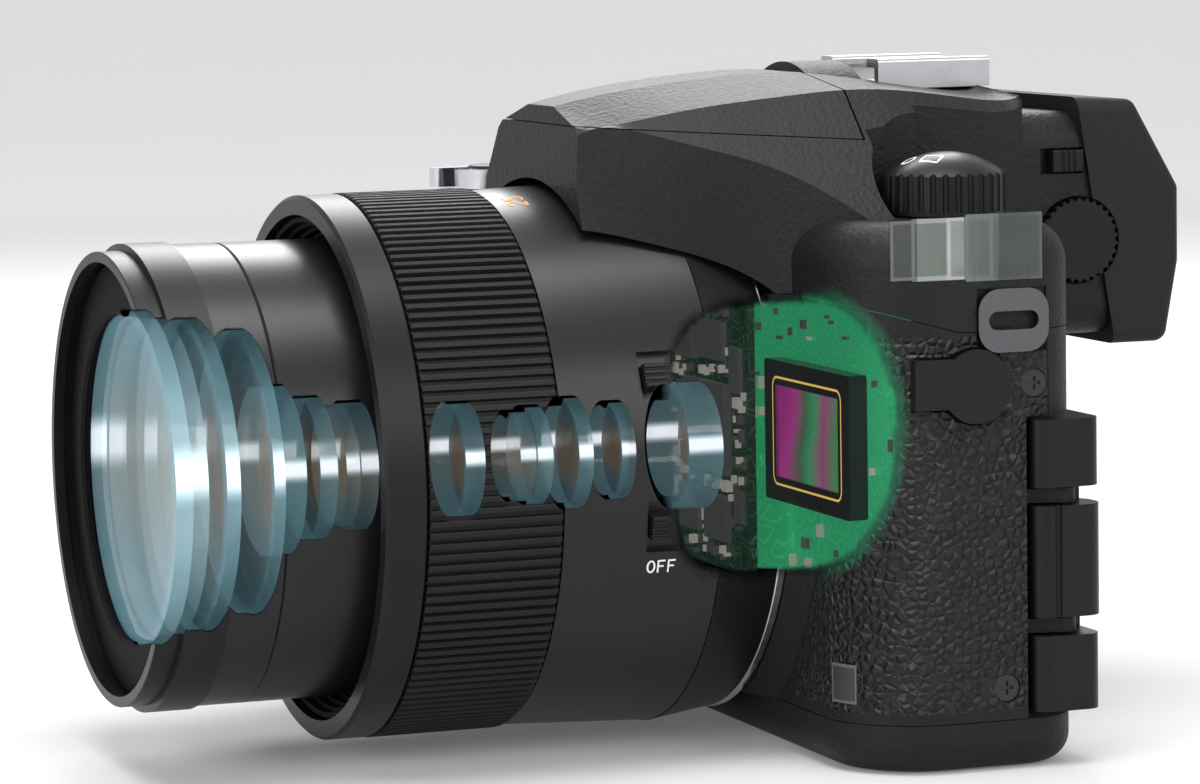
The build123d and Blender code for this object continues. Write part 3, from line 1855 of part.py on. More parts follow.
def dial(x, y, radius, height, dome, knurls):
    """A knurled dial on a short shaft in the deck, with a domed top."""
    low = deck_height + dial_gap
    sphere = (radius**2 + dome**2) / (2 * dome)
    bend_height = low + height + dome - sphere + math.sqrt(sphere**2 - (radius / 2) ** 2)
    with BuildPart() as knob:
        with BuildSketch(Plane.XZ):
            with BuildLine():
                Polyline(
                    (0, low + height + dome),
                    (0, deck_height - shaft_depth),
                    (shaft_radius, deck_height - shaft_depth),
                    (shaft_radius, low),
                    (radius, low),
                    (radius, low + height),
                )
                ThreePointArc((radius, low + height), (radius / 2, bend_height), (0, low + height + dome))
            make_face()
        revolve(axis=Axis.Z)
        with BuildSketch(Plane.XY.offset(low + knurl_radius)):
            with PolarLocations(radius, knurls):
                Circle(knurl_radius)
        extrude(amount=height + dome, mode=Mode.SUBTRACT)
    return knob.part.translate(Vector(x, y, 0))


finish(
    "drive_dial",
    dial(dial_x, dial_y, drive_dial_radius, drive_dial_height, drive_dial_dome, dial_knurls),
)
finish(
    "mode_dial",
    dial(-mode_dial_x, mode_dial_y, mode_dial_radius, mode_dial_height, knurl_radius, dial_knurls),
)

# Release: zoom lever on a hub, shutter button sliding in the hub
lever_low = deck_height + lever_gap
with BuildPart() as zoom_lever:
    add(upright(-release_x, -release_y, lever_radius, lever_low, lever_low + lever_height))
    with BuildSketch(Plane.XY.offset(lever_low + lever_gap)):
        with Locations((-release_x, -release_y - lever_radius)):
            SlotOverall(lever_tab, lever_tab * tab_share, rotation=90)
    extrude(amount=lever_height)
    add(upright(-release_x, -release_y, lever_hub_radius, deck_height - shaft_depth, lever_low + lever_gap))
    add(
        upright(
            -release_x,
            -release_y,
            button_radius + lever_gap,
            lever_low + button_travel,
            deck_height + overrun,
        ),
        mode=Mode.SUBTRACT,
    )
    add(
        upright(-release_x, -release_y, shaft_radius + pin_clearance, 0, deck_height + overrun),
        mode=Mode.SUBTRACT,
    )
finish("zoom_lever", zoom_lever.part)

button_low = lever_low + 2 * button_travel + lever_gap
with BuildPart() as shutter_button:
    add(upright(-release_x, -release_y, button_radius, button_low, button_low + button_height))
    fillet(shutter_button.edges().group_by(Axis.Z)[-1], radius=button_height / 2)
    add(upright(-release_x, -release_y, shaft_radius, deck_height - shaft_depth, button_low))
finish("shutter_button", shutter_button.part)

with BuildPart() as power_lever:
    add(upright(-power_x, power_y, power_radius, deck_height + lever_gap, deck_height + lever_gap + power_height))
    with BuildSketch(Plane.XY.offset(deck_height + lever_gap)):
        with Locations((-power_x - power_radius, power_y)):
            SlotOverall(lever_tab, lever_tab * tab_share)
    extrude(amount=power_height / 2)
    fillet(power_lever.edges().group_by(Axis.Z)[-1], radius=lever_gap)
    add(upright(-power_x, power_y, shaft_radius, deck_height - shaft_depth, deck_height + lever_gap))
finish("power_lever", power_lever.part)

record_low = deck_height - casing_wall / 2 + 2 * button_travel - lever_gap - lever_gap
with BuildPart() as movie_button:
    add(upright(-record_x, -record_y, record_radius, record_low, record_low + record_height))
    fillet(movie_button.edges().group_by(Axis.Z)[-1], radius=lever_gap)
    add(upright(-record_x, -record_y, shaft_radius, deck_height - shaft_depth, record_low))
finish("movie_button", movie_button.part)

with BuildPart() as rear_dial:
    with BuildSketch(Plane.XY.offset(rear_dial_low)):
        with Locations((-rear_dial_x, rear_dial_y)):
            Circle(rear_dial_radius)
            with PolarLocations(rear_dial_radius, dial_knurls):
                Circle(knurl_radius, mode=Mode.SUBTRACT)
    extrude(amount=rear_dial_height)
    add(
        upright(
            -rear_dial_x,
            rear_dial_y,
            thumb_pin_radius,
            rear_dial_low,
            deck_height - casing_wall / 2 - lever_gap,
        )
    )
finish("rear_dial", rear_dial.part)

with BuildPart() as flash_switch:
    add(
        block(
            finder_half - flash_switch_depth + dial_gap,
            finder_half + flash_switch_raise,
            flash_switch_place - flash_switch_length / 2,
            flash_switch_place + flash_switch_length / 2,
            flash_switch_height - flash_switch_width / 2,
            flash_switch_height + flash_switch_width / 2,
        )
    )
    fillet(flash_switch.edges().group_by(Axis.X)[-1], radius=grip_groove)
    with BuildSketch(Plane.XY.offset(flash_switch_height - flash_switch_width)):
        for step in (-1, 0, 1):
            with Locations((finder_half + flash_switch_raise, flash_switch_place + step * grip_pitch)):
                Circle(grip_groove)
    extrude(amount=2 * flash_switch_width, mode=Mode.SUBTRACT)
finish("flash_switch", flash_switch.part)

diopter_face = finder_half + diopter_raise
with BuildPart() as diopter_dial:
    with BuildSketch(Plane.YZ.offset(diopter_face - diopter_thickness)):
        with Locations((diopter_place, diopter_height)):
            Circle(diopter_radius)
            with PolarLocations(diopter_radius, dial_knurls):
                Circle(knurl_radius, mode=Mode.SUBTRACT)
    extrude(amount=diopter_thickness)
    with BuildSketch(Plane.YZ.offset(diopter_face - diopter_thickness)):
        with Locations((diopter_place, diopter_height)):
            Circle(thumb_pin_radius)
    extrude(amount=-casing_wall)
finish("diopter_dial", diopter_dial.part)

# Keys on the back
pad_face = body_rear - key_depth + key_raise
with BuildPart() as cursor_pad:
    with BuildSketch(Plane.XZ.offset(-pad_face)):
        with Locations((-pad_x, pad_height)):
            Circle(pad_radius)
            Circle(pad_radius * pad_groove_share, mode=Mode.SUBTRACT)
            Circle(pad_radius * pad_button_share)
    extrude(amount=-key_depth)
    with BuildSketch(Plane.XZ.offset(-pad_face)):
        with Locations((-pad_x, pad_height)):
            Circle(pad_radius)
    extrude(amount=-key_depth / 2)
finish("cursor_pad", cursor_pad.part)

with BuildPart() as rear_keypad:
    with BuildSketch(Plane.XZ.offset(-pad_face)):
        for row in (0, 1):
            with Locations((-key_x, key_low + row * key_pitch)):
                RectangleRounded(key_width - dial_gap, key_height - dial_gap, key_height / 3)
    extrude(amount=-key_depth)
finish("rear_keypad", rear_keypad.part)

# Articulated screen: frame, glass, and the hinge block with its two pins
notch_x = hinge_x - hinge_notch
with BuildPart() as lcd_frame:
    with BuildSketch(Plane.XY.offset(screen_low)):
        with Locations(((screen_left - screen_right) / 2, (screen_front + screen_back) / 2)):
            RectangleRounded(screen_left + screen_right, screen_back - screen_front, screen_round)
    extrude(amount=screen_high - screen_low)
    add(
        block(
            notch_x,
            overrun * 2,
            0,
            overrun,
            hinge_low - 2 * hinge_gap - hinge_ear,
            hinge_high + 2 * hinge_gap + hinge_ear,
        ),
        mode=Mode.SUBTRACT,
    )
    add(
        block(
            screen_glass_inset - screen_right,
            notch_x - screen_glass_inset,
            screen_back - screen_glass_depth - seat_gap,
            overrun,
            screen_low + screen_glass_inset,
            screen_high - screen_glass_inset,
        ),
        mode=Mode.SUBTRACT,
    )
    with BuildSketch(Plane.YZ.offset(notch_x)):
        with Locations((hinge_y, (hinge_low + hinge_high) / 2)):
            Circle(swivel_radius + pin_clearance)
    extrude(amount=-2 * hinge_ear_radius, mode=Mode.SUBTRACT)
finish("lcd_frame", lcd_frame.part)

finish(
    "lcd_screen",
    block(
        screen_glass_inset - screen_right + seat_gap,
        notch_x - screen_glass_inset - seat_gap,
        screen_back - screen_glass_depth,
        screen_back - seat_gap,
        screen_low + screen_glass_inset + seat_gap,
        screen_high - screen_glass_inset - seat_gap,
    ),
)

with BuildPart() as lcd_hinge:
    with BuildSketch(Plane.XY.offset(hinge_low)):
        with Locations(((notch_x + seat_gap + screen_left) / 2, (screen_front + hinge_back) / 2)):
            RectangleRounded(
                screen_left - notch_x - seat_gap, hinge_back - screen_front, hinge_block_round
            )
    extrude(amount=hinge_high - hinge_low)
    # A groove runs down the block where the cable passes
    with BuildSketch(Plane.XY.offset(hinge_low)):
        with Locations((screen_left, hinge_y - casing_wall)):
            Circle(grip_groove * 2)
    extrude(amount=hinge_high - hinge_low, mode=Mode.SUBTRACT)
    add(
        upright(
            hinge_x,
            hinge_y,
            hinge_pin_radius,
            hinge_low - hinge_gap - hinge_ear,
            hinge_high + hinge_gap + hinge_ear,
        )
    )
    with BuildSketch(Plane.YZ.offset(notch_x + hinge_block_round)):
        with Locations((hinge_y, (hinge_low + hinge_high) / 2)):
            Circle(swivel_radius)
    extrude(amount=seat_gap - hinge_block_round - 2 * hinge_ear_radius)
finish("lcd_hinge", lcd_hinge.part)
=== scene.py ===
"""A bridge camera with its lens run out, shown on a pale floor.

The shell is whole; soft windows in its near side show the lens groups, the boards and the
viewfinder's optics, as a cutaway drawing does. Lengths are in metres unless a comment or a
docstring says mm. +Z is up, the lens looks along -Y and +X is the near side.
"""

import math

import bpy
import numpy as np
from mathutils import Matrix, Vector


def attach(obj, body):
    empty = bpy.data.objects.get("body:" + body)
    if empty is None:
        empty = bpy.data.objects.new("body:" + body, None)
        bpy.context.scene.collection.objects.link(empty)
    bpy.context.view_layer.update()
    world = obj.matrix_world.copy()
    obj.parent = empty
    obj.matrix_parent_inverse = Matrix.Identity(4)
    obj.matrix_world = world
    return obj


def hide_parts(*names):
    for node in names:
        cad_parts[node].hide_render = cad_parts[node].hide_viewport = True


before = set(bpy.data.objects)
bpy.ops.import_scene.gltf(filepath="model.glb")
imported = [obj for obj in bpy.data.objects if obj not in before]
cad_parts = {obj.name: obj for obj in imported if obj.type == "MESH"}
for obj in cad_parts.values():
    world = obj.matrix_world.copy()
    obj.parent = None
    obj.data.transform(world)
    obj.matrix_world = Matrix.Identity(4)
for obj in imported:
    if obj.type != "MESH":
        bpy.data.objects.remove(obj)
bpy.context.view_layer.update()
MM = 0.001
# Height of the lens axis, in metres and in mm
AXIS = 0.0415
AXIS_MM = AXIS / MM
# The camera's place, from which the windows are drawn, as a cutaway's station point, in mm
STATION = (653.289, -272.742, 122.531)


class Sock:
    """A shader socket that takes plain arithmetic."""

    def __init__(self, tree, socket):
        self.tree = tree
        self.socket = socket

    def math(self, operation, *others):
        """One Math node over this socket and others, each a socket or a number."""
        made = self.tree.nodes.new("ShaderNodeMath")
        made.operation = operation
        for slot, value in zip(made.inputs, (self, *others)):
            if isinstance(value, Sock):
                self.tree.links.new(value.socket, slot)
            else:
                slot.default_value = float(value)
        return Sock(self.tree, made.outputs[0])

    def node(self, kind, inputs, output=0, **settings):
        """Any other node, fed from sockets or constants."""
        made = self.tree.nodes.new(kind)
        for name, value in settings.items():
            setattr(made, name, value)
        for name, value in inputs.items():
            if isinstance(value, Sock):
                self.tree.links.new(value.socket, made.inputs[name])
            else:
                made.inputs[name].default_value = value
        return Sock(self.tree, made.outputs[output])

    def __add__(self, other):
        return self.math("ADD", other)

    def __sub__(self, other):
        return self.math("SUBTRACT", other)

    def __mul__(self, other):
        return self.math("MULTIPLY", other)

    def __truediv__(self, other):
        return self.math("DIVIDE", other)

    def __radd__(self, other):
        return self + other

    def __rsub__(self, other):
        return self * -1.0 + other

    def __rmul__(self, other):
        return self * other

    def __rtruediv__(self, other):
        return self.math("POWER", -1.0) * other

    def __abs__(self):
        return self.math("ABSOLUTE")

    def most(self, other):
        return self.math("MAXIMUM", other)

    def least(self, other):
        return self.math("MINIMUM", other)

    def root(self):
        return self.math("SQRT")

    def above(self, edge, width):
        """0 below the edge and 1 above it, with a soft step of that width."""
        return self.node(
            "ShaderNodeMapRange",
            {"Value": self, "From Min": edge - width / 2, "From Max": edge + width / 2},
            interpolation_type="SMOOTHSTEP",
        )

    def below(self, edge, width):
        """1 below the edge and 0 above it."""
        return 1.0 - self.above(edge, width)


def place(tree):
    """Object coordinates, in metres, and their three parts."""
    coords = tree.nodes.new("ShaderNodeTexCoord")
    split = tree.nodes.new("ShaderNodeSeparateXYZ")
    tree.links.new(coords.outputs["Object"], split.inputs[0])
    whole = Sock(tree, coords.outputs["Object"])
    return whole, [Sock(tree, split.outputs[i]) for i in range(3)]


# Glass elements seen through the barrel: front and rear of the edge along y, and radius, in mm
LENSES = [
    (-105.5, -102.9, 24.1),
    (-102.86, -100.26, 22.8),
    (-97.6, -95.6, 22.6),
    (-90.2, -88.6, 20.7),
    (-86.4, -83.0, 12.4),
    (-80.4, -77.8, 10.5),
    (-76.0, -74.0, 8.9),
    (-73.96, -71.36, 9.5),
    (-57.9, -54.9, 8.5),
    (-48.9, -46.5, 6.8),
    (-46.46, -44.06, 7.4),
    (-40.4, -38.2, 8.4),
    (-33.4, -31.2, 7.4),
    (-23.6, -18.2, 9.35),
]
# Optics of the viewfinder as drawn: front and rear along y, half width and half height, in mm
FINDER = [(16.4, 19.4, 8.0, 4.6), (20.0, 26.4, 8.0, 4.8), (29.0, 34.6, 8.0, 5.2)]
FINDER_HEIGHT = 69.0
# The window over the boards, on the plane x = 0: its middle and half sizes, in mm
BOARDS_MIDDLE = (-5.0, 42.0)
BOARDS_HALF = (19.0, 21.5)
# Where that window ends, in metres: at the main board's far edge, and before the sensor
# board's back, so that the wall behind it stays whole
BOARDS_FAR = -0.0465
BOARDS_BACK = 0.0032
# Where the viewfinder's windows end, in metres: only the shell before and beside its optics
FINDER_FAR = -0.0128
FINDER_BACK = 0.0164
# The lenses' windows open only the shell whose x is above this, in metres
NEAR_SIDE = 0.002


def joined(masks):
    """The greatest of several masks at each point."""
    greatest = masks[0]
    for mask in masks[1:]:
        greatest = greatest.most(mask)
    return greatest


def window_group():
    """How clear the near shell is at a point: 1 where a window is open.

    A window is drawn on the plane x = 0 as it is seen from STATION, so each point is first
    carried there along its line of sight: u = Sy + (y - Sy) Sx / (Sx - x), and v the same with
    z. The line meets a disc's plane y = Y where s = (u - Sy) / (Y - Sy), x = Sx (1 - 1 / s) and
    z = Sz + (v - Sz) / s, and there the disc of radius R is x^2 + (z - AXIS)^2 < R^2. Y is the
    place within the disc's thickness that is nearest to u. A block of the viewfinder fills
    |u - middle| < half length + k half width, k = (front - Sy) / Sx. The boards' window is the
    curve du^4 + dv^4 = 1 at its front, which bends into the circle du^2 + dv^2 = 1 at its
    rear, with noise on its edge.

    Lenses opens the lenses' and the viewfinder's windows, Boards the other one; Rim is the
    green edge on the boards' rear half, and Outline the lines round the viewfinder's blocks.
    """
    tree = bpy.data.node_groups.new("windows", "ShaderNodeTree")
    whole, (x, y, z) = place(tree)
    from_x, from_y, from_z = STATION
    scale = 1.0 / (x * -1000.0 + from_x) * from_x
    u = (y * 1000.0 - from_y) * scale + from_y
    v = (z * 1000.0 - from_z) * scale + from_z

    discs = []
    for front, rear, radius in LENSES:
        stretch = (u - from_y) / (u.most(front).least(rear) - from_y)
        across = (1.0 - 1.0 / stretch) * from_x
        up = (v - from_z) / stretch + (from_z - AXIS_MM)
        discs.append((across * across + up * up).root().below(radius, 0.02 * radius))

    blocks, lines = [], []
    for front, rear, half, height in FINDER:
        slope = (front - from_y) / from_x
        off = abs(u - (front + rear) / 2) - (rear - front) / 2 - slope * half
        edge = off.most(abs(v - FINDER_HEIGHT) - height)
        blocks.append(edge.below(0.0, 0.3))
        lines.append(abs(edge + 0.3).below(0.28, 0.2))

    noise = whole.node("ShaderNodeTexNoise", {"Vector": whole, "Scale": 180.0, "Detail": 3.0})
    du = (u - BOARDS_MIDDLE[0]) / BOARDS_HALF[0]
    dv = (v - BOARDS_MIDDLE[1]) / BOARDS_HALF[1]
    du = du * du
    dv = dv * dv
    square = (du * du + dv * dv).root().root()
    disc = (du + dv).root() * 0.96
    bend = u.above(2.0, 14.0) * 0.8
    reach = square + (disc - square) * bend + (noise - 0.5) * 0.12
    before = y.below(BOARDS_BACK, 0.0002)

    near = x.above(NEAR_SIDE, 0.0005)
    ahead = y.below(FINDER_BACK, 0.0001) * x.above(FINDER_FAR, 0.0005)
    results = {
        "Lenses": (joined(discs) * near).most(joined(blocks) * near.most(ahead)),
        "Boards": reach.below(0.97, 0.12) * x.above(BOARDS_FAR, 0.001) * before,
        "Rim": reach.below(1.02, 0.12) * x.above(0.0, 0.001) * before * u.above(3.0, 8.0),
        "Outline": joined(lines),
    }
    for name in results:
        tree.interface.new_socket(name, in_out="OUTPUT", socket_type="NodeSocketFloat")
    out = tree.nodes.new("NodeGroupOutput")
    for name, result in results.items():
        tree.links.new(result.socket, out.inputs[name])
    return tree


WINDOWS = window_group()


def window_masks(tree, *names):
    """The named results of the windows' group in a material's tree."""
    group = tree.nodes.new("ShaderNodeGroup")
    group.node_tree = WINDOWS
    return [Sock(tree, group.outputs[name]) for name in names]


def blend_of(whole, factor, first, second):
    """Mixes two colours, each a constant or a socket."""
    first, second = (c if isinstance(c, Sock) else (*c, 1.0) for c in (first, second))
    # The node's colour inputs and its colour output, by number, as several share a name
    inputs = {0: factor, 6: first, 7: second}
    return whole.node("ShaderNodeMix", inputs, output=2, data_type="RGBA")


def scaled(colour, amount):
    """A colour socket times an amount, a number or a socket."""
    inputs = {0: colour, "Scale": amount}
    return colour.node("ShaderNodeVectorMath", inputs, operation="SCALE")


BOARD_RIM = (0.02, 0.22, 0.11)
OUTLINE = (0.85, 0.88, 0.87)
# Colour of a painted warm reflection across the middle of a lens's faces
WARM_REFLECTION = (0.50, 0.30, 0.16)
GLINT = (0.92, 0.95, 1.0)
# Depths of the bump of a leather and of every other surface, in metres
HIDE_DEPTH = 0.0005
GRAIN_DEPTH = 0.0002


def glass_glow(whole, x, z, noise, broad, shown, colour, alpha, glow, rim_glow, radius):
    """What a piece of glass gives off, as a colour and its strength, and how solid it looks.

    edge = 1 where the surface faces away from the lens axis, by its normal's y. A lens of the
    given radius, in metres, has outer = r^2 / radius^2, a line round its face where outer is
    nearly 1, a painted warm reflection across its middle, which also glows, and a painted glint
    on its edge a little above the axis.
    """
    tree = whole.tree
    facing = tree.nodes.new("ShaderNodeSeparateXYZ")
    shape = tree.nodes.new("ShaderNodeNewGeometry")
    tree.links.new(shape.outputs["Normal"], facing.inputs[0])
    edge = abs(Sock(tree, facing.outputs[1])).below(0.5, 0.3)
    if not radius:
        outer = (noise - 0.5) * 0.4 + 0.6
        strength = edge * rim_glow + outer * glow + glow * 0.5
        return shown, strength, edge * 0.12 + outer * 0.16 + alpha
    up = (z - AXIS) / radius
    outer = ((x * x) / (radius * radius) + up * up).least(1.0)
    line = outer.above(0.9, 0.1)
    glint = abs(up - 0.12).below(0.13, 0.16) * edge
    # A painted warm reflection across the middle band of the lens's faces, which also glows
    warm_reflection = abs(up - 0.05 + (broad - 0.5) * 0.6).below(0.5, 0.8)
    shown = blend_of(whole, warm_reflection, shown, WARM_REFLECTION)
    shown = blend_of(whole, line.most(edge * 0.5), shown, colour)
    shown = blend_of(whole, glint, shown, GLINT)
    strength = edge * rim_glow + outer * glow + glow * 0.5 + line * 0.06 + glint * 0.7
    # The painted warm reflection gives off light too, except on the edge
    strength = strength + warm_reflection * (1.0 - edge) * 0.25
    return shown, strength, edge * 0.12 + outer * 0.16 + alpha + line * 0.1 + glint * 0.5


def material(name, colour, rough, metal=0.0, coat=0.0, grain=900.0, bump=0.03, tone=0.12,
             windows=True, hide=None, alpha=1.0, glow=0.0, pattern=None, coat_rough=0.2,
             shine=0.5, rim_glow=0.0, radius=0.0, outlined=False):
    """A procedural surface: colour * (1 - tone + tone * (noise + broad noise)).

    grain is the noise's scale and bump its strength; hide is a leather's cell scale; pattern
    is a function that makes the colour; windows cut the surface open. glow is the share of its
    colour that it gives off. rim_glow, the same for edges, makes it glass, a lens where it has
    a radius. outlined draws the outlines of the viewfinder's windows on it.
    """
    made = bpy.data.materials.new(name)
    made.use_nodes = True
    tree = made.node_tree
    shader = tree.nodes["Principled BSDF"]
    whole, (x, y, z) = place(tree)
    noise = whole.node("ShaderNodeTexNoise", {"Vector": whole, "Scale": grain, "Detail": 4.0})
    broad = whole.node("ShaderNodeTexNoise", {"Vector": whole, "Scale": 35.0, "Detail": 2.0})
    if pattern:
        tint = pattern(whole, x, y, z)
    else:
        tint = whole.node("ShaderNodeRGB", {})
        tint.socket.default_value = (*colour, 1.0)
    shown = scaled(tint, noise * tone + broad * tone + (1.0 - tone))

    relief, depth = noise, GRAIN_DEPTH
    if hide:
        cells = whole.node(
            "ShaderNodeTexVoronoi", {"Vector": whole, "Scale": hide, "Randomness": 0.85},
            feature="DISTANCE_TO_EDGE",
        )
        relief, depth = (cells * 3.0).least(1.0) + noise * 0.2 + broad * 0.2, HIDE_DEPTH
    push = whole.node(
        "ShaderNodeBump", {"Height": relief, "Strength": bump, "Distance": depth}
    )

    links = {"Roughness": noise * 0.12 + (rough - 0.06), "Normal": push}
    if windows:
        over_lenses, over_boards, rim = window_masks(tree, "Lenses", "Boards", "Rim")
        links["Alpha"] = 1.0 - over_lenses.most(over_boards)
        shown = blend_of(whole, rim * 0.45, shown, BOARD_RIM)
    links["Base Color"] = shown
    if outlined:
        shown = blend_of(whole, window_masks(tree, "Outline")[0], shown, OUTLINE)
    strength = glow
    if rim_glow:
        shown, strength, links["Alpha"] = glass_glow(
            whole, x, z, noise, broad, shown, colour, alpha, glow, rim_glow, radius
        )
    elif alpha < 1.0:
        shader.inputs["Alpha"].default_value = alpha
    if glow or rim_glow:
        links["Emission Color"] = scaled(shown, strength)
        shader.inputs["Emission Strength"].default_value = 1.0

    for slot, value in links.items():
        tree.links.new(value.socket, shader.inputs[slot])
    shader.inputs["Metallic"].default_value = metal
    shader.inputs["Coat Weight"].default_value = coat
    shader.inputs["Coat Roughness"].default_value = coat_rough
    shader.inputs["Specular IOR Level"].default_value = shine
    return made


# The sensor, in mm: half sizes of its active area, and its gold outline, which is the line at
# one distance from a rectangle of these half sizes
ACTIVE_HALF = (12.0, 7.0)
GOLD_HALF = (11.6, 6.6)
GOLD_CORNER = 1.6


def sensor_colours(whole, x, y, z):
    """Black package, gold outline, and an active area of magenta and green bands."""
    across = abs(x) * 1000.0
    up = abs(z - AXIS) * 1000.0
    beside = (across - GOLD_HALF[0]).most(0.0)
    over = (up - GOLD_HALF[1]).most(0.0)
    gold = abs((beside * beside + over * over).root() - GOLD_CORNER).below(0.17, 0.1)
    active = (across - ACTIVE_HALF[0]).most(up - ACTIVE_HALF[1]).below(0.0, 0.2)
    noise = whole.node("ShaderNodeTexNoise", {"Vector": whole, "Scale": 60.0, "Detail": 1.0})
    band = (x * 1000.0 - (z - AXIS) * 120.0 + 12.0) / 24.0 + (noise - 0.5) * 0.5
    ramp = whole.tree.nodes.new("ShaderNodeValToRGB")
    whole.tree.links.new(band.socket, ramp.inputs[0])
    stops = [(0.0, (0.20, 0.02, 0.13)), (0.2, (0.26, 0.03, 0.17)), (0.4, (0.05, 0.09, 0.05)),
             (0.55, (0.03, 0.20, 0.09)), (0.75, (0.20, 0.05, 0.13)), (1.0, (0.05, 0.16, 0.07))]
    while len(ramp.color_ramp.elements) < len(stops):
        ramp.color_ramp.elements.new(0.5)
    for element, (at, colour) in zip(ramp.color_ramp.elements, stops):
        element.position = at
        element.color = (*colour, 1.0)
    base = blend_of(whole, active, (0.012, 0.012, 0.013), Sock(whole.tree, ramp.outputs[0]))
    return blend_of(whole, gold, base, (0.62, 0.42, 0.10))


def tracks(whole, scale):
    """Lines at one distance inside the edges of a board's cells."""
    cell = whole.node(
        "ShaderNodeTexVoronoi", {"Vector": whole, "Scale": scale, "Randomness": 1.0},
        distance="CHEBYCHEV", feature="DISTANCE_TO_EDGE",
    )
    return abs(cell - 0.12).below(0.02, 0.02)


def board_colours(whole, x, y, z):
    """Green solder mask with paler tracks."""
    return blend_of(whole, tracks(whole, 260.0), (0.025, 0.26, 0.11), (0.04, 0.33, 0.15))


def chip_colours(whole, x, y, z):
    """A dark mask with tracks, and dull grey on the chips that stand in front of it."""
    chip = y.below(CHIP_FACES, 0.00003)
    mask = blend_of(whole, tracks(whole, 300.0), (0.012, 0.03, 0.02), (0.05, 0.09, 0.06))
    return blend_of(whole, chip, mask, (0.06, 0.062, 0.066))


# Everything on the main board in front of this y, in metres, is a chip
CHIP_FACES = -0.00545
PLASTIC = (0.0075, 0.0075, 0.008)
looks = {
    "casing": material("casing", PLASTIC, 0.5, grain=1300.0, bump=0.9, tone=0.4, shine=0.2),
    "smooth": material("smooth", (0.007, 0.007, 0.0075), 0.36, grain=1800.0, bump=0.05, shine=0.2),
    "barrel": material("barrel", (0.008, 0.008, 0.0085), 0.30, grain=1800.0, bump=0.03, shine=0.3),
    "inner": material("inner", (0.003, 0.003, 0.0032), 0.7, bump=0.1, shine=0.1),
    "control": material("control", (0.006, 0.006, 0.0065), 0.34, bump=0.04, shine=0.2),
    "rubber": material("rubber", (0.0065, 0.0065, 0.007), 0.6, bump=0.12, shine=0.25),
    "leather": material("leather", (0.006, 0.006, 0.0065), 0.40, bump=0.8, hide=760.0, shine=0.3),
    "chrome": material("chrome", (0.72, 0.73, 0.76), 0.16, metal=1.0, bump=0.01),
    "rod": material("rod", (0.02, 0.02, 0.022), 0.3, metal=1.0, bump=0.01),
    "steel": material("steel", (0.42, 0.42, 0.43), 0.3, metal=1.0, bump=0.05, windows=False),
    "dark_steel": material("dark_steel", (0.11, 0.11, 0.115), 0.32, metal=1.0, bump=0.05,
                           windows=False),
    "black_steel": material("black_steel", (0.012, 0.012, 0.013), 0.35, bump=0.05,
                            windows=False, shine=0.4),
    "display": material("display", (0.42, 0.44, 0.42), 0.2, bump=0.0, windows=False, alpha=0.8,
                        glow=0.45, coat=1.0, tone=0.6, grain=120.0, outlined=True),
    "eye_glass": material("eye_glass", (0.55, 0.60, 0.60), 0.06, bump=0.0, windows=False,
                          alpha=0.25, glow=0.12, coat=1.0, coat_rough=0.03, rim_glow=0.1,
                          tone=0.5, grain=150.0, outlined=True),
    "screen": material("screen", (0.006, 0.006, 0.008), 0.12, windows=False, bump=0.0, shine=0.4),
    "lamp": material("lamp", (0.75, 0.76, 0.74), 0.2, windows=False),
    "sensor": material("sensor", None, 0.25, windows=False, pattern=sensor_colours, bump=0.0,
                       tone=0.05, glow=0.9),
    "board": material("board", None, 0.4, windows=False, pattern=board_colours, bump=0.1,
                      glow=0.7),
    "main_board": material("main_board", None, 0.4, windows=False, pattern=chip_colours,
                           bump=0.1, glow=0.6),
    "battery": material("battery", (0.03, 0.03, 0.035), 0.4, windows=False, shine=0.25),
    "part_dark": material("part_dark", (0.06, 0.06, 0.062), 0.35, windows=False, glow=0.6),
    "part_pale": material("part_pale", (0.32, 0.30, 0.27), 0.4, windows=False, glow=0.6),
    "white": material("white", (0.82, 0.82, 0.82), 0.5, windows=False, tone=0.05),
    "orange": material("orange", (0.85, 0.30, 0.03), 0.5, windows=False, tone=0.05),
    "plate": material("plate", (0.03, 0.03, 0.032), 0.3, bump=0.05, windows=False, shine=0.4),
    "plate_edge": material("plate_edge", (0.10, 0.10, 0.105), 0.3, bump=0.02, windows=False,
                           shine=0.5),
}
# Radius of the line round a lens's face, in metres, one for all the lenses of a node
LENS_RADII = {
    "front_lens_pair": 0.0241,
    "second_lens": 0.0226,
    "third_lens": 0.0207,
    "variator_lenses": 0.0108,
    "relay_lens": 0.0085,
    "focus_lens_pair": 0.0073,
    "focus_lens": 0.0084,
    "rear_lens": 0.0074,
    "field_lens": 0.00935,
}
for name, radius in LENS_RADII.items():
    looks[name] = material(name + "_glass", (0.20, 0.40, 0.47), 0.06, bump=0.0, windows=False,
                           alpha=0.16, radius=radius, glow=0.10, coat=0.6, coat_rough=0.03,
                           rim_glow=0.05, tone=0.35, grain=110.0, shine=0.3)
# The nodes that each look dresses
use = {
    "casing": "front_casing rear_casing top_casing base_cover flash_head",
    "smooth": "lens_collar lcd_frame lcd_hinge battery_door filter_ring zoom_ring mic_cover",
    "barrel": "fixed_barrel front_barrel",
    "inner": "light_baffle front_retainer front_lens_cell relay_cell focus_cell rear_cell",
    "control": "drive_dial mode_dial power_lever stabiliser_switch focus_switch flash_switch "
               "diopter_dial rear_dial movie_button cursor_pad rear_keypad shutter_button",
    "rubber": "grip_rubber eyecup zoom_ring_rubber",
    "leather": "side_leather",
    "chrome": "trim_ring zoom_lever",
    "rod": "guide_rods",
    "steel": "hot_shoe tripod_bush",
    "dark_steel": "strap_lugs",
    "black_steel": "case_screws",
    "eye_glass": "viewfinder_lens",
    "display": "viewfinder_display",
    "screen": "lcd_screen",
    "lamp": "flash_window",
    "sensor": "image_sensor",
    "board": "sensor_board",
    "main_board": "main_board",
    "battery": "battery",
}
use.update({name: name for name in LENS_RADII})
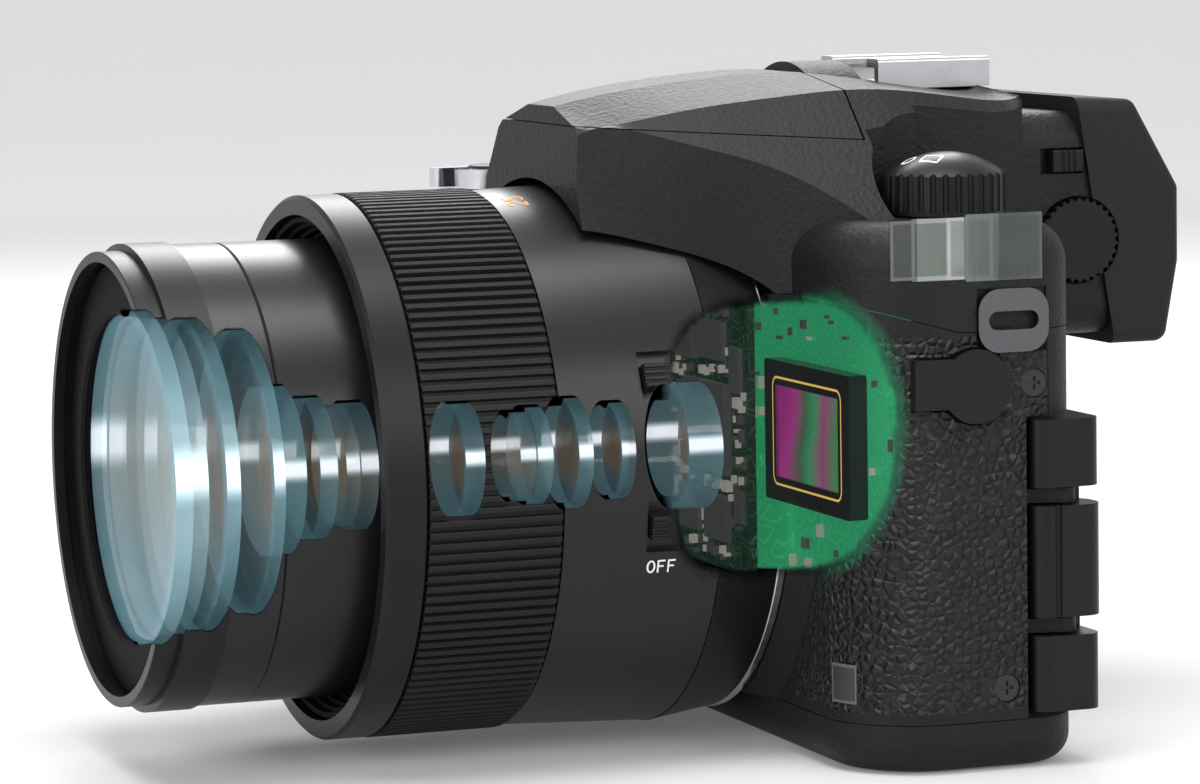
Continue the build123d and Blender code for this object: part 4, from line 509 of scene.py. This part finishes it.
for look, names in use.items():
    for name in names.split():
        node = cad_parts[name]
        node.data.materials.clear()
        node.data.materials.append(looks[look])


def add_piece(name, verts, faces, look, body):
    """A mesh piece from points, in metres, and faces, which rides with a body."""
    mesh = bpy.data.meshes.new(name)
    mesh.from_pydata([tuple(map(float, p)) for p in verts], [], [tuple(map(int, f)) for f in faces])
    mesh.update()
    piece = bpy.data.objects.new(name, mesh)
    bpy.context.scene.collection.objects.link(piece)
    mesh.materials.append(looks[look])
    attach(piece, body)
    return piece


BOX_FACES = np.array([(0, 3, 2, 1), (4, 5, 6, 7), (0, 1, 5, 4), (1, 2, 6, 5), (2, 3, 7, 6),
                      (3, 0, 4, 7)])
# Width and height of the small parts on the boards, the space round each, and the drawing
# tries for each one, all lengths in mm
PART_SIZES = [(0.5, 1.0), (1.0, 0.5), (0.6, 1.2), (1.0, 1.8), (1.3, 1.3), (2.2, 1.6)]
PART_SPACE = 0.25
PART_TRIES = 8


def boxes(places):
    """Closed boxes (x0, x1, y0, y1, z0, z1), in mm, as one mesh."""
    verts, faces = [], []
    for x0, x1, y0, y1, z0, z1 in places:
        faces.extend(BOX_FACES + len(verts))
        verts.extend([(x0, y0, z0), (x1, y0, z0), (x1, y1, z0), (x0, y1, z0),
                      (x0, y0, z1), (x1, y0, z1), (x1, y1, z1), (x0, y1, z1)])
    return np.array(verts) * MM, faces


def scatter(seed, count, x_range, z_range, face, rise, keep_out):
    """Small parts on a board's front face, kept out of the given rectangles and apart.

    face is the board's y and rise the tallest part's height; all is in mm.
    """
    rng = np.random.default_rng(seed)
    placed = []
    taken = list(keep_out)
    for _ in range(count * PART_TRIES):
        if len(placed) >= count:
            break
        w, h = rng.choice(PART_SIZES)
        x = rng.uniform(x_range[0] + w, x_range[1] - w)
        z = rng.uniform(z_range[0] + h, z_range[1] - h)
        sides = (x - w / 2, x + w / 2)
        ends = (z - h / 2, z + h / 2)
        box = (sides[0] - PART_SPACE, sides[1] + PART_SPACE,
               ends[0] - PART_SPACE, ends[1] + PART_SPACE)
        if any(box[0] < b[1] and box[1] > b[0] and box[2] < b[3] and box[3] > b[2] for b in taken):
            continue
        taken.append(box)
        placed.append((*sides, face - rise * rng.uniform(0.5, 1.0), face, *ends))
    return placed


# Rectangles (x0, x1, z0, z1), in mm, that the boards' own large parts and screws take up
sensor_keep = [(-17.5, 17.5, 30.0, 53.0), (-16.8, -13.0, 19.5, 31.2)]
main_keep = [(-37.4, -19.0, 33.6, 48.4), (-29.4, -19.6, 23.2, 30.8), (-40.4, -31.6, 23.6, 31.4),
             (-40.4, -32.6, 50.6, 56.4), (-31.4, -20.6, 51.2, 57.8), (-18.8, -14.2, 46.6, 54.4),
             (-17.7, -13.7, 26.7, 32.3), (-44.9, -40.0, 20.0, 25.5), (-44.9, -40.0, 55.5, 61.0),
             (-19.0, -13.6, 20.0, 25.5), (-19.0, -13.6, 55.5, 61.0)]
# Front faces of the two boards' masks, in mm
SENSOR_BOARD_FACE = 1.78
MAIN_BOARD_FACE = -5.42
on_sensor = scatter(3, 34, (-30.0, 30.0), (19.5, 63.0), SENSOR_BOARD_FACE, 0.9, sensor_keep)
on_main = scatter(5, 330, (-45.5, -13.0), (20.0, 61.5), MAIN_BOARD_FACE, 1.1, main_keep)
for index, (look, name) in enumerate((("part_dark", "dark_parts"), ("part_pale", "pale_parts"))):
    verts, faces = boxes(on_sensor[index::2] + on_main[index::2])
    add_piece(name, verts, faces, look, "camera_body")


def stroke(points, width, surface):
    """A flat ribbon along a line p(t), with its edges at p +- width / 2 * n(t), where n is
    the line's normal, laid on a surface(a, b) -> (x, y, z)."""
    points = np.array(points, float)
    step = np.gradient(points, axis=0)
    step /= np.linalg.norm(step, axis=1)[:, None]
    side = np.stack([-step[:, 1], step[:, 0]], axis=1) * width / 2
    verts = [surface(*p) for pair in zip(points + side, points - side) for p in pair]
    faces = [(2 * i, 2 * i + 1, 2 * i + 3, 2 * i + 2) for i in range(len(points) - 1)]
    return verts, faces


def letter(name):
    """Strokes of a character in a cell 0.6 wide and 1 high."""
    if name == "O":
        t = np.linspace(0, 2 * math.pi, 25)
        return [np.stack([0.3 + 0.27 * np.sin(t), 0.5 + 0.45 * np.cos(t)], axis=1)]
    if name == "F":
        return [[(0.05, 1.0), (0.05, 0.5), (0.05, 0.0)], [(0.05, 0.95), (0.3, 0.95), (0.58, 0.95)],
                [(0.05, 0.52), (0.28, 0.52), (0.48, 0.52)]]
    if name == "2":
        t = np.linspace(math.pi * 0.9, -math.pi * 0.25, 12)
        bow = [(0.3 + 0.26 * math.cos(a), 0.7 + 0.26 * math.sin(a)) for a in t]
        return [bow + [(0.06, 0.05)], [(0.04, 0.05), (0.3, 0.05), (0.58, 0.05)]]
    t = np.linspace(math.pi * 0.62, -math.pi * 0.8, 14)
    bow = [(0.28 + 0.28 * math.cos(a), 0.32 + 0.29 * math.sin(a)) for a in t]
    return [[(0.54, 0.95), (0.3, 0.95), (0.1, 0.95)], [(0.1, 0.95), (0.09, 0.8), (0.07, 0.6)], bow]


# Marks lie this far over their surface and have this thickness of paint, in mm and metres
MARK_LIFT = 0.04
DIAL_MARK_LIFT = 0.03
PAINT = 0.00008
# The fixed barrel's radius at its front and the ends of its cone, in mm: it gains 1 mm there
BARREL_RADIUS = 39.1
BARREL_FRONT = -53.7
BARREL_REAR = -30.4


def barrel_radius(y):
    """Radius of the fixed barrel, in mm: R(y) = R0 + (y - front) / (rear - front)."""
    return BARREL_RADIUS + (y - BARREL_FRONT) / (BARREL_REAR - BARREL_FRONT)


def mark(lines, width, surface):
    """Several strokes as one mesh."""
    verts, faces = [], []
    for line in lines:
        v, f = stroke(line, width, surface)
        faces.extend([tuple(i + len(verts) for i in face) for face in f])
        verts.extend(v)
    return np.array(verts) * MM, faces


def word(text, height, surface):
    """All strokes of a short word, 0.8 of its height from one character to the next."""
    lines = [(np.array(line, float) + (0.8 * index, 0.0)) * height
             for index, name in enumerate(text) for line in letter(name)]
    return mark(lines, 0.13 * height, surface)


def thick(piece):
    """Gives a printed mark the thickness of its paint, inwards."""
    paint = piece.modifiers.new("paint", "SOLIDIFY")
    paint.thickness = PAINT
    paint.offset = -1.0


def on_side(y0, z0):
    """Surface map on the barrel's near side: a runs along y and b round the barrel, so that
    P = (R cos t, y0 + a, AXIS + R sin t) with t = asin((z0 - AXIS) / R) + b / R."""
    def surface(a, b):
        radius = barrel_radius(y0 + a) + MARK_LIFT
        angle = math.asin((z0 - AXIS_MM) / radius) + b / radius
        return (radius * math.cos(angle), y0 + a, AXIS_MM + radius * math.sin(angle))
    return surface


def on_top(y0, angle0):
    """Surface map near the barrel's top, read from behind: a runs round it and b forwards,
    so that P = (R cos t, y0 - b, AXIS + R sin t) with t = angle0 + a / R."""
    def surface(a, b):
        radius = barrel_radius(y0 - b) + MARK_LIFT
        angle = angle0 + a / radius
        return (radius * math.cos(angle), y0 - b, AXIS_MM + radius * math.sin(angle))
    return surface


verts, faces = word("OFF", 1.9, on_side(-41.2, 28.4))
thick(add_piece("off_mark", verts, faces, "white", "camera_body"))
verts, faces = word("25", 3.0, on_top(-48.6, math.radians(72.5)))
thick(add_piece("range_mark", verts, faces, "orange", "camera_body"))

# The drive dial's middle, the top of its dome and the dome's sphere, in mm
DIAL_X = 38.0
DIAL_Y = 5.0
DIAL_TOP = 86.1
DOME_RADIUS = 13.16


def on_dome(a, b):
    """Surface map on the drive dial's dome: z = top - S + (S^2 - a^2 - b^2)^0.5, with S the
    radius of its sphere."""
    rise = math.sqrt(DOME_RADIUS**2 - a * a - b * b)
    return (DIAL_X + a, DIAL_Y + b, DIAL_TOP - DOME_RADIUS + rise + DIAL_MARK_LIFT)


# A ring, wound so that its ribbon faces up, and a tilted rectangle
turn = np.linspace(2 * math.pi, 0, 25)
ring = np.stack([-0.6 + 0.95 * np.cos(turn), -5.4 + 0.95 * np.sin(turn)], axis=1)
tilted = [(2.2, -5.0), (3.4, -4.2), (4.6, -3.4), (4.0, -2.6), (3.4, -1.8), (2.2, -2.6),
          (1.0, -3.4), (1.6, -4.2), (2.2, -5.0)]
verts, faces = mark([ring, tilted], 0.34, on_dome)
thick(add_piece("dial_marks", verts, faces, "white", "drive_dial_body"))

# A bare plate on the leather's front corner. P0, P1 and P2 of the corner's parabola, in mm,
# how deep the plate's back is sunk in the leather, and its columns of points
CORNER = np.array([(48.49, -15.87), (2.15, 0.89), (-0.24, 0.11)])
PLATE_SINK = -0.2
PLATE_COLUMNS = 9


def bent_plate(spread, low, high, lift):
    """A thin plate bent round the corner: P(t) = P0 + P1 t + P2 t^2 + n(t) h, where n is the
    curve's normal and h goes from the sunk back to the lift of its face."""
    t = np.linspace(-spread, spread, PLATE_COLUMNS)[:, None]
    curve = CORNER[0] + CORNER[1] * t + CORNER[2] * t * t
    slope = CORNER[1] + 2 * CORNER[2] * t
    slope /= np.linalg.norm(slope, axis=1)[:, None]
    out = np.stack([slope[:, 1], -slope[:, 0]], axis=1)
    rows = []
    for depth, z in ((PLATE_SINK, low), (PLATE_SINK, high), (lift, high), (lift, low)):
        rows.append(np.column_stack([curve + out * depth, np.full(PLATE_COLUMNS, z)]))
    count = PLATE_COLUMNS
    faces = []
    for row in range(4):
        here, after = row * count, (row + 1) % 4 * count
        faces += [(here + i, after + i, after + i + 1, here + i + 1) for i in range(count - 1)]
    faces += [(0, 3 * count, 2 * count, count),
              (count - 1, 2 * count - 1, 3 * count - 1, 4 * count - 1)]
    return np.concatenate(rows) * MM, faces


verts, faces = bent_plate(1.0, 9.8, 15.3, 0.22)
add_piece("plate_rim", verts, faces, "plate_edge", "camera_body")
verts, faces = bent_plate(0.86, 10.2, 14.9, 0.3)
add_piece("bare_plate", verts, faces, "plate", "camera_body")

# Fine ribs of the zoom ring's rubber, a closed ring: radii and ends in mm, the length over
# which a rib's end rises to its full height, and the share of it that stands up at once
RIBS = 156
RIB_TOP = 39.5
RIB_FLOOR = 38.85
RIB_LEAD = 0.3
RIB_START = 0.75
RUBBER_BORE = 38.25
RUBBER_FRONT = -73.4
RUBBER_REAR = -54.0
# A rib's height over its pitch, as shares of both
RIB_SHARE = np.array([0.0, 0.12, 0.5, 0.6, 0.7, 0.99])
RIB_LAND = np.array([0.0, 1.0, 1.0, 0.86, 0.0, 0.0])


def ribbed_ring():
    """A ribbed ring: r(t) = floor + (top - floor) * land(t) * lift at each station along y,
    where land rises to 1 over a part of each rib's pitch."""
    angle = ((np.arange(RIBS)[:, None] + RIB_SHARE) / RIBS * 2 * math.pi).ravel()
    land = np.tile(RIB_LAND, RIBS)
    stations = [(RUBBER_FRONT, 0.0), (RUBBER_FRONT, RIB_START), (RUBBER_FRONT + RIB_LEAD, 1.0),
                (RUBBER_REAR - RIB_LEAD, 1.0), (RUBBER_REAR, RIB_START), (RUBBER_REAR, 0.0)]
    rings = [(y, RIB_FLOOR + (RIB_TOP - RIB_FLOOR) * land * lift) for y, lift in stations]
    rings += [(y, np.full_like(angle, RUBBER_BORE)) for y in (RUBBER_REAR, RUBBER_FRONT)]
    verts = [
        np.stack([r * np.cos(angle), np.full_like(angle, y), AXIS_MM + r * np.sin(angle)], axis=1)
        for y, r in rings
    ]
    count = len(angle)
    step = np.arange(count)
    after = (step + 1) % count
    faces = []
    for index in range(len(rings)):
        low = index * count
        high = ((index + 1) % len(rings)) * count
        faces.append(np.stack([low + step, high + step, high + after, low + after], axis=1))
    return np.concatenate(verts) * MM, np.concatenate(faces)


verts, faces = ribbed_ring()
ribs = add_piece("fine_ribs", verts, faces, "rubber", "lens_ring")
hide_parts("zoom_ring_rubber")

# Floor, lights and camera. The floor gives off a little light, more of it from the first to
# the second of these distances
FLOOR_NEAR = 0.1
FLOOR_FAR = 1.3
FLOOR_HALF = 9
FLOOR_DROP = 0.00005
floor_mesh = bpy.data.meshes.new("floor")
corners = [(a * FLOOR_HALF, b * FLOOR_HALF, 0) for a, b in ((-1, -1), (1, -1), (1, 1), (-1, 1))]
floor_mesh.from_pydata(corners, [], [(0, 1, 2, 3)])
floor = bpy.data.objects.new("floor", floor_mesh)
floor.location = (0, 0, -FLOOR_DROP)
bpy.context.scene.collection.objects.link(floor)
paper = material("floor", (0.66, 0.66, 0.67), 0.7, windows=False, bump=0.0, tone=0.01,
                 grain=20.0, shine=0.2)
floor_mesh.materials.append(paper)
tree = paper.node_tree
whole, (x, y, z) = place(tree)
away = whole.node("ShaderNodeMapRange", {
    "Value": (x * x + y * y).root(), "From Min": FLOOR_NEAR, "From Max": FLOOR_FAR,
})
light = blend_of(whole, away, (0.10, 0.10, 0.10), (0.44, 0.445, 0.45))
tree.links.new(light.socket, tree.nodes["Principled BSDF"].inputs["Emission Color"])
tree.nodes["Principled BSDF"].inputs["Emission Strength"].default_value = 1.0

# The background as it is seen, also in metal and glass, and the share of it that lights
ROOM_COLOUR = (0.80, 0.81, 0.83, 1.0)
ROOM_LIGHT = 0.4
world = bpy.data.worlds.new("room")
bpy.context.scene.world = world
world.use_nodes = True
sky = world.node_tree
paths = sky.nodes.new("ShaderNodeLightPath")
seen = joined([Sock(sky, paths.outputs[f"Is {kind} Ray"])
               for kind in ("Camera", "Glossy", "Transmission")])
sky.nodes["Background"].inputs["Color"].default_value = ROOM_COLOUR
strength = seen * (1.0 - ROOM_LIGHT) + ROOM_LIGHT
sky.links.new(strength.socket, sky.nodes["Background"].inputs["Strength"])

# What the lamps face, in metres
CENTRE = Vector((0, -0.034, 0.05))


def area(name, at, size, power):
    """A soft square lamp that faces the camera's middle."""
    lamp = bpy.data.lights.new(name, "AREA")
    lamp.size = size
    lamp.energy = power
    made = bpy.data.objects.new(name, lamp)
    made.location = at
    made.rotation_mode = "QUATERNION"
    made.rotation_quaternion = (Vector(at) - CENTRE).to_track_quat("Z", "Y")
    bpy.context.scene.collection.objects.link(made)


area("over", (0.10, -0.10, 0.85), 0.55, 6.5)
area("side", (0.75, 0.35, 0.45), 0.5, 3.0)
area("front", (0.45, -0.85, 0.40), 0.5, 4.0)
area("back", (-0.7, 0.2, 0.55), 0.4, 4.0)

# The photograph's camera, fitted to it: where it is from the object, in radians, and its roll
AZIMUTH = 1.22043
ELEVATION = 0.10368
ROLL = -0.01692
back = Vector((math.sin(AZIMUTH) * math.cos(ELEVATION),
               -math.cos(AZIMUTH) * math.cos(ELEVATION),
               math.sin(ELEVATION)))
right = Vector((math.cos(AZIMUTH), math.sin(AZIMUTH), 0))
up = back.cross(right)
turned_right = right * math.cos(ROLL) + up * math.sin(ROLL)
turned_up = back.cross(turned_right)
lens = bpy.data.cameras.new("camera")
lens.lens = 142.017
lens.sensor_width = 36.0
lens.clip_start = 0.05
lens.clip_end = 50.0
camera = bpy.data.objects.new("camera", lens)
facing = Matrix((turned_right, turned_up, back)).transposed()
camera.matrix_world = Matrix.Translation(Vector(STATION) * MM) @ facing.to_4x4()
bpy.context.scene.collection.objects.link(camera)
bpy.context.scene.camera = camera
bpy.context.scene.view_settings.view_transform = "Standard"
# Enough for a ray through every open window and lens; with fewer, it ends in black
bpy.context.scene.cycles.transparent_max_bounces = 48
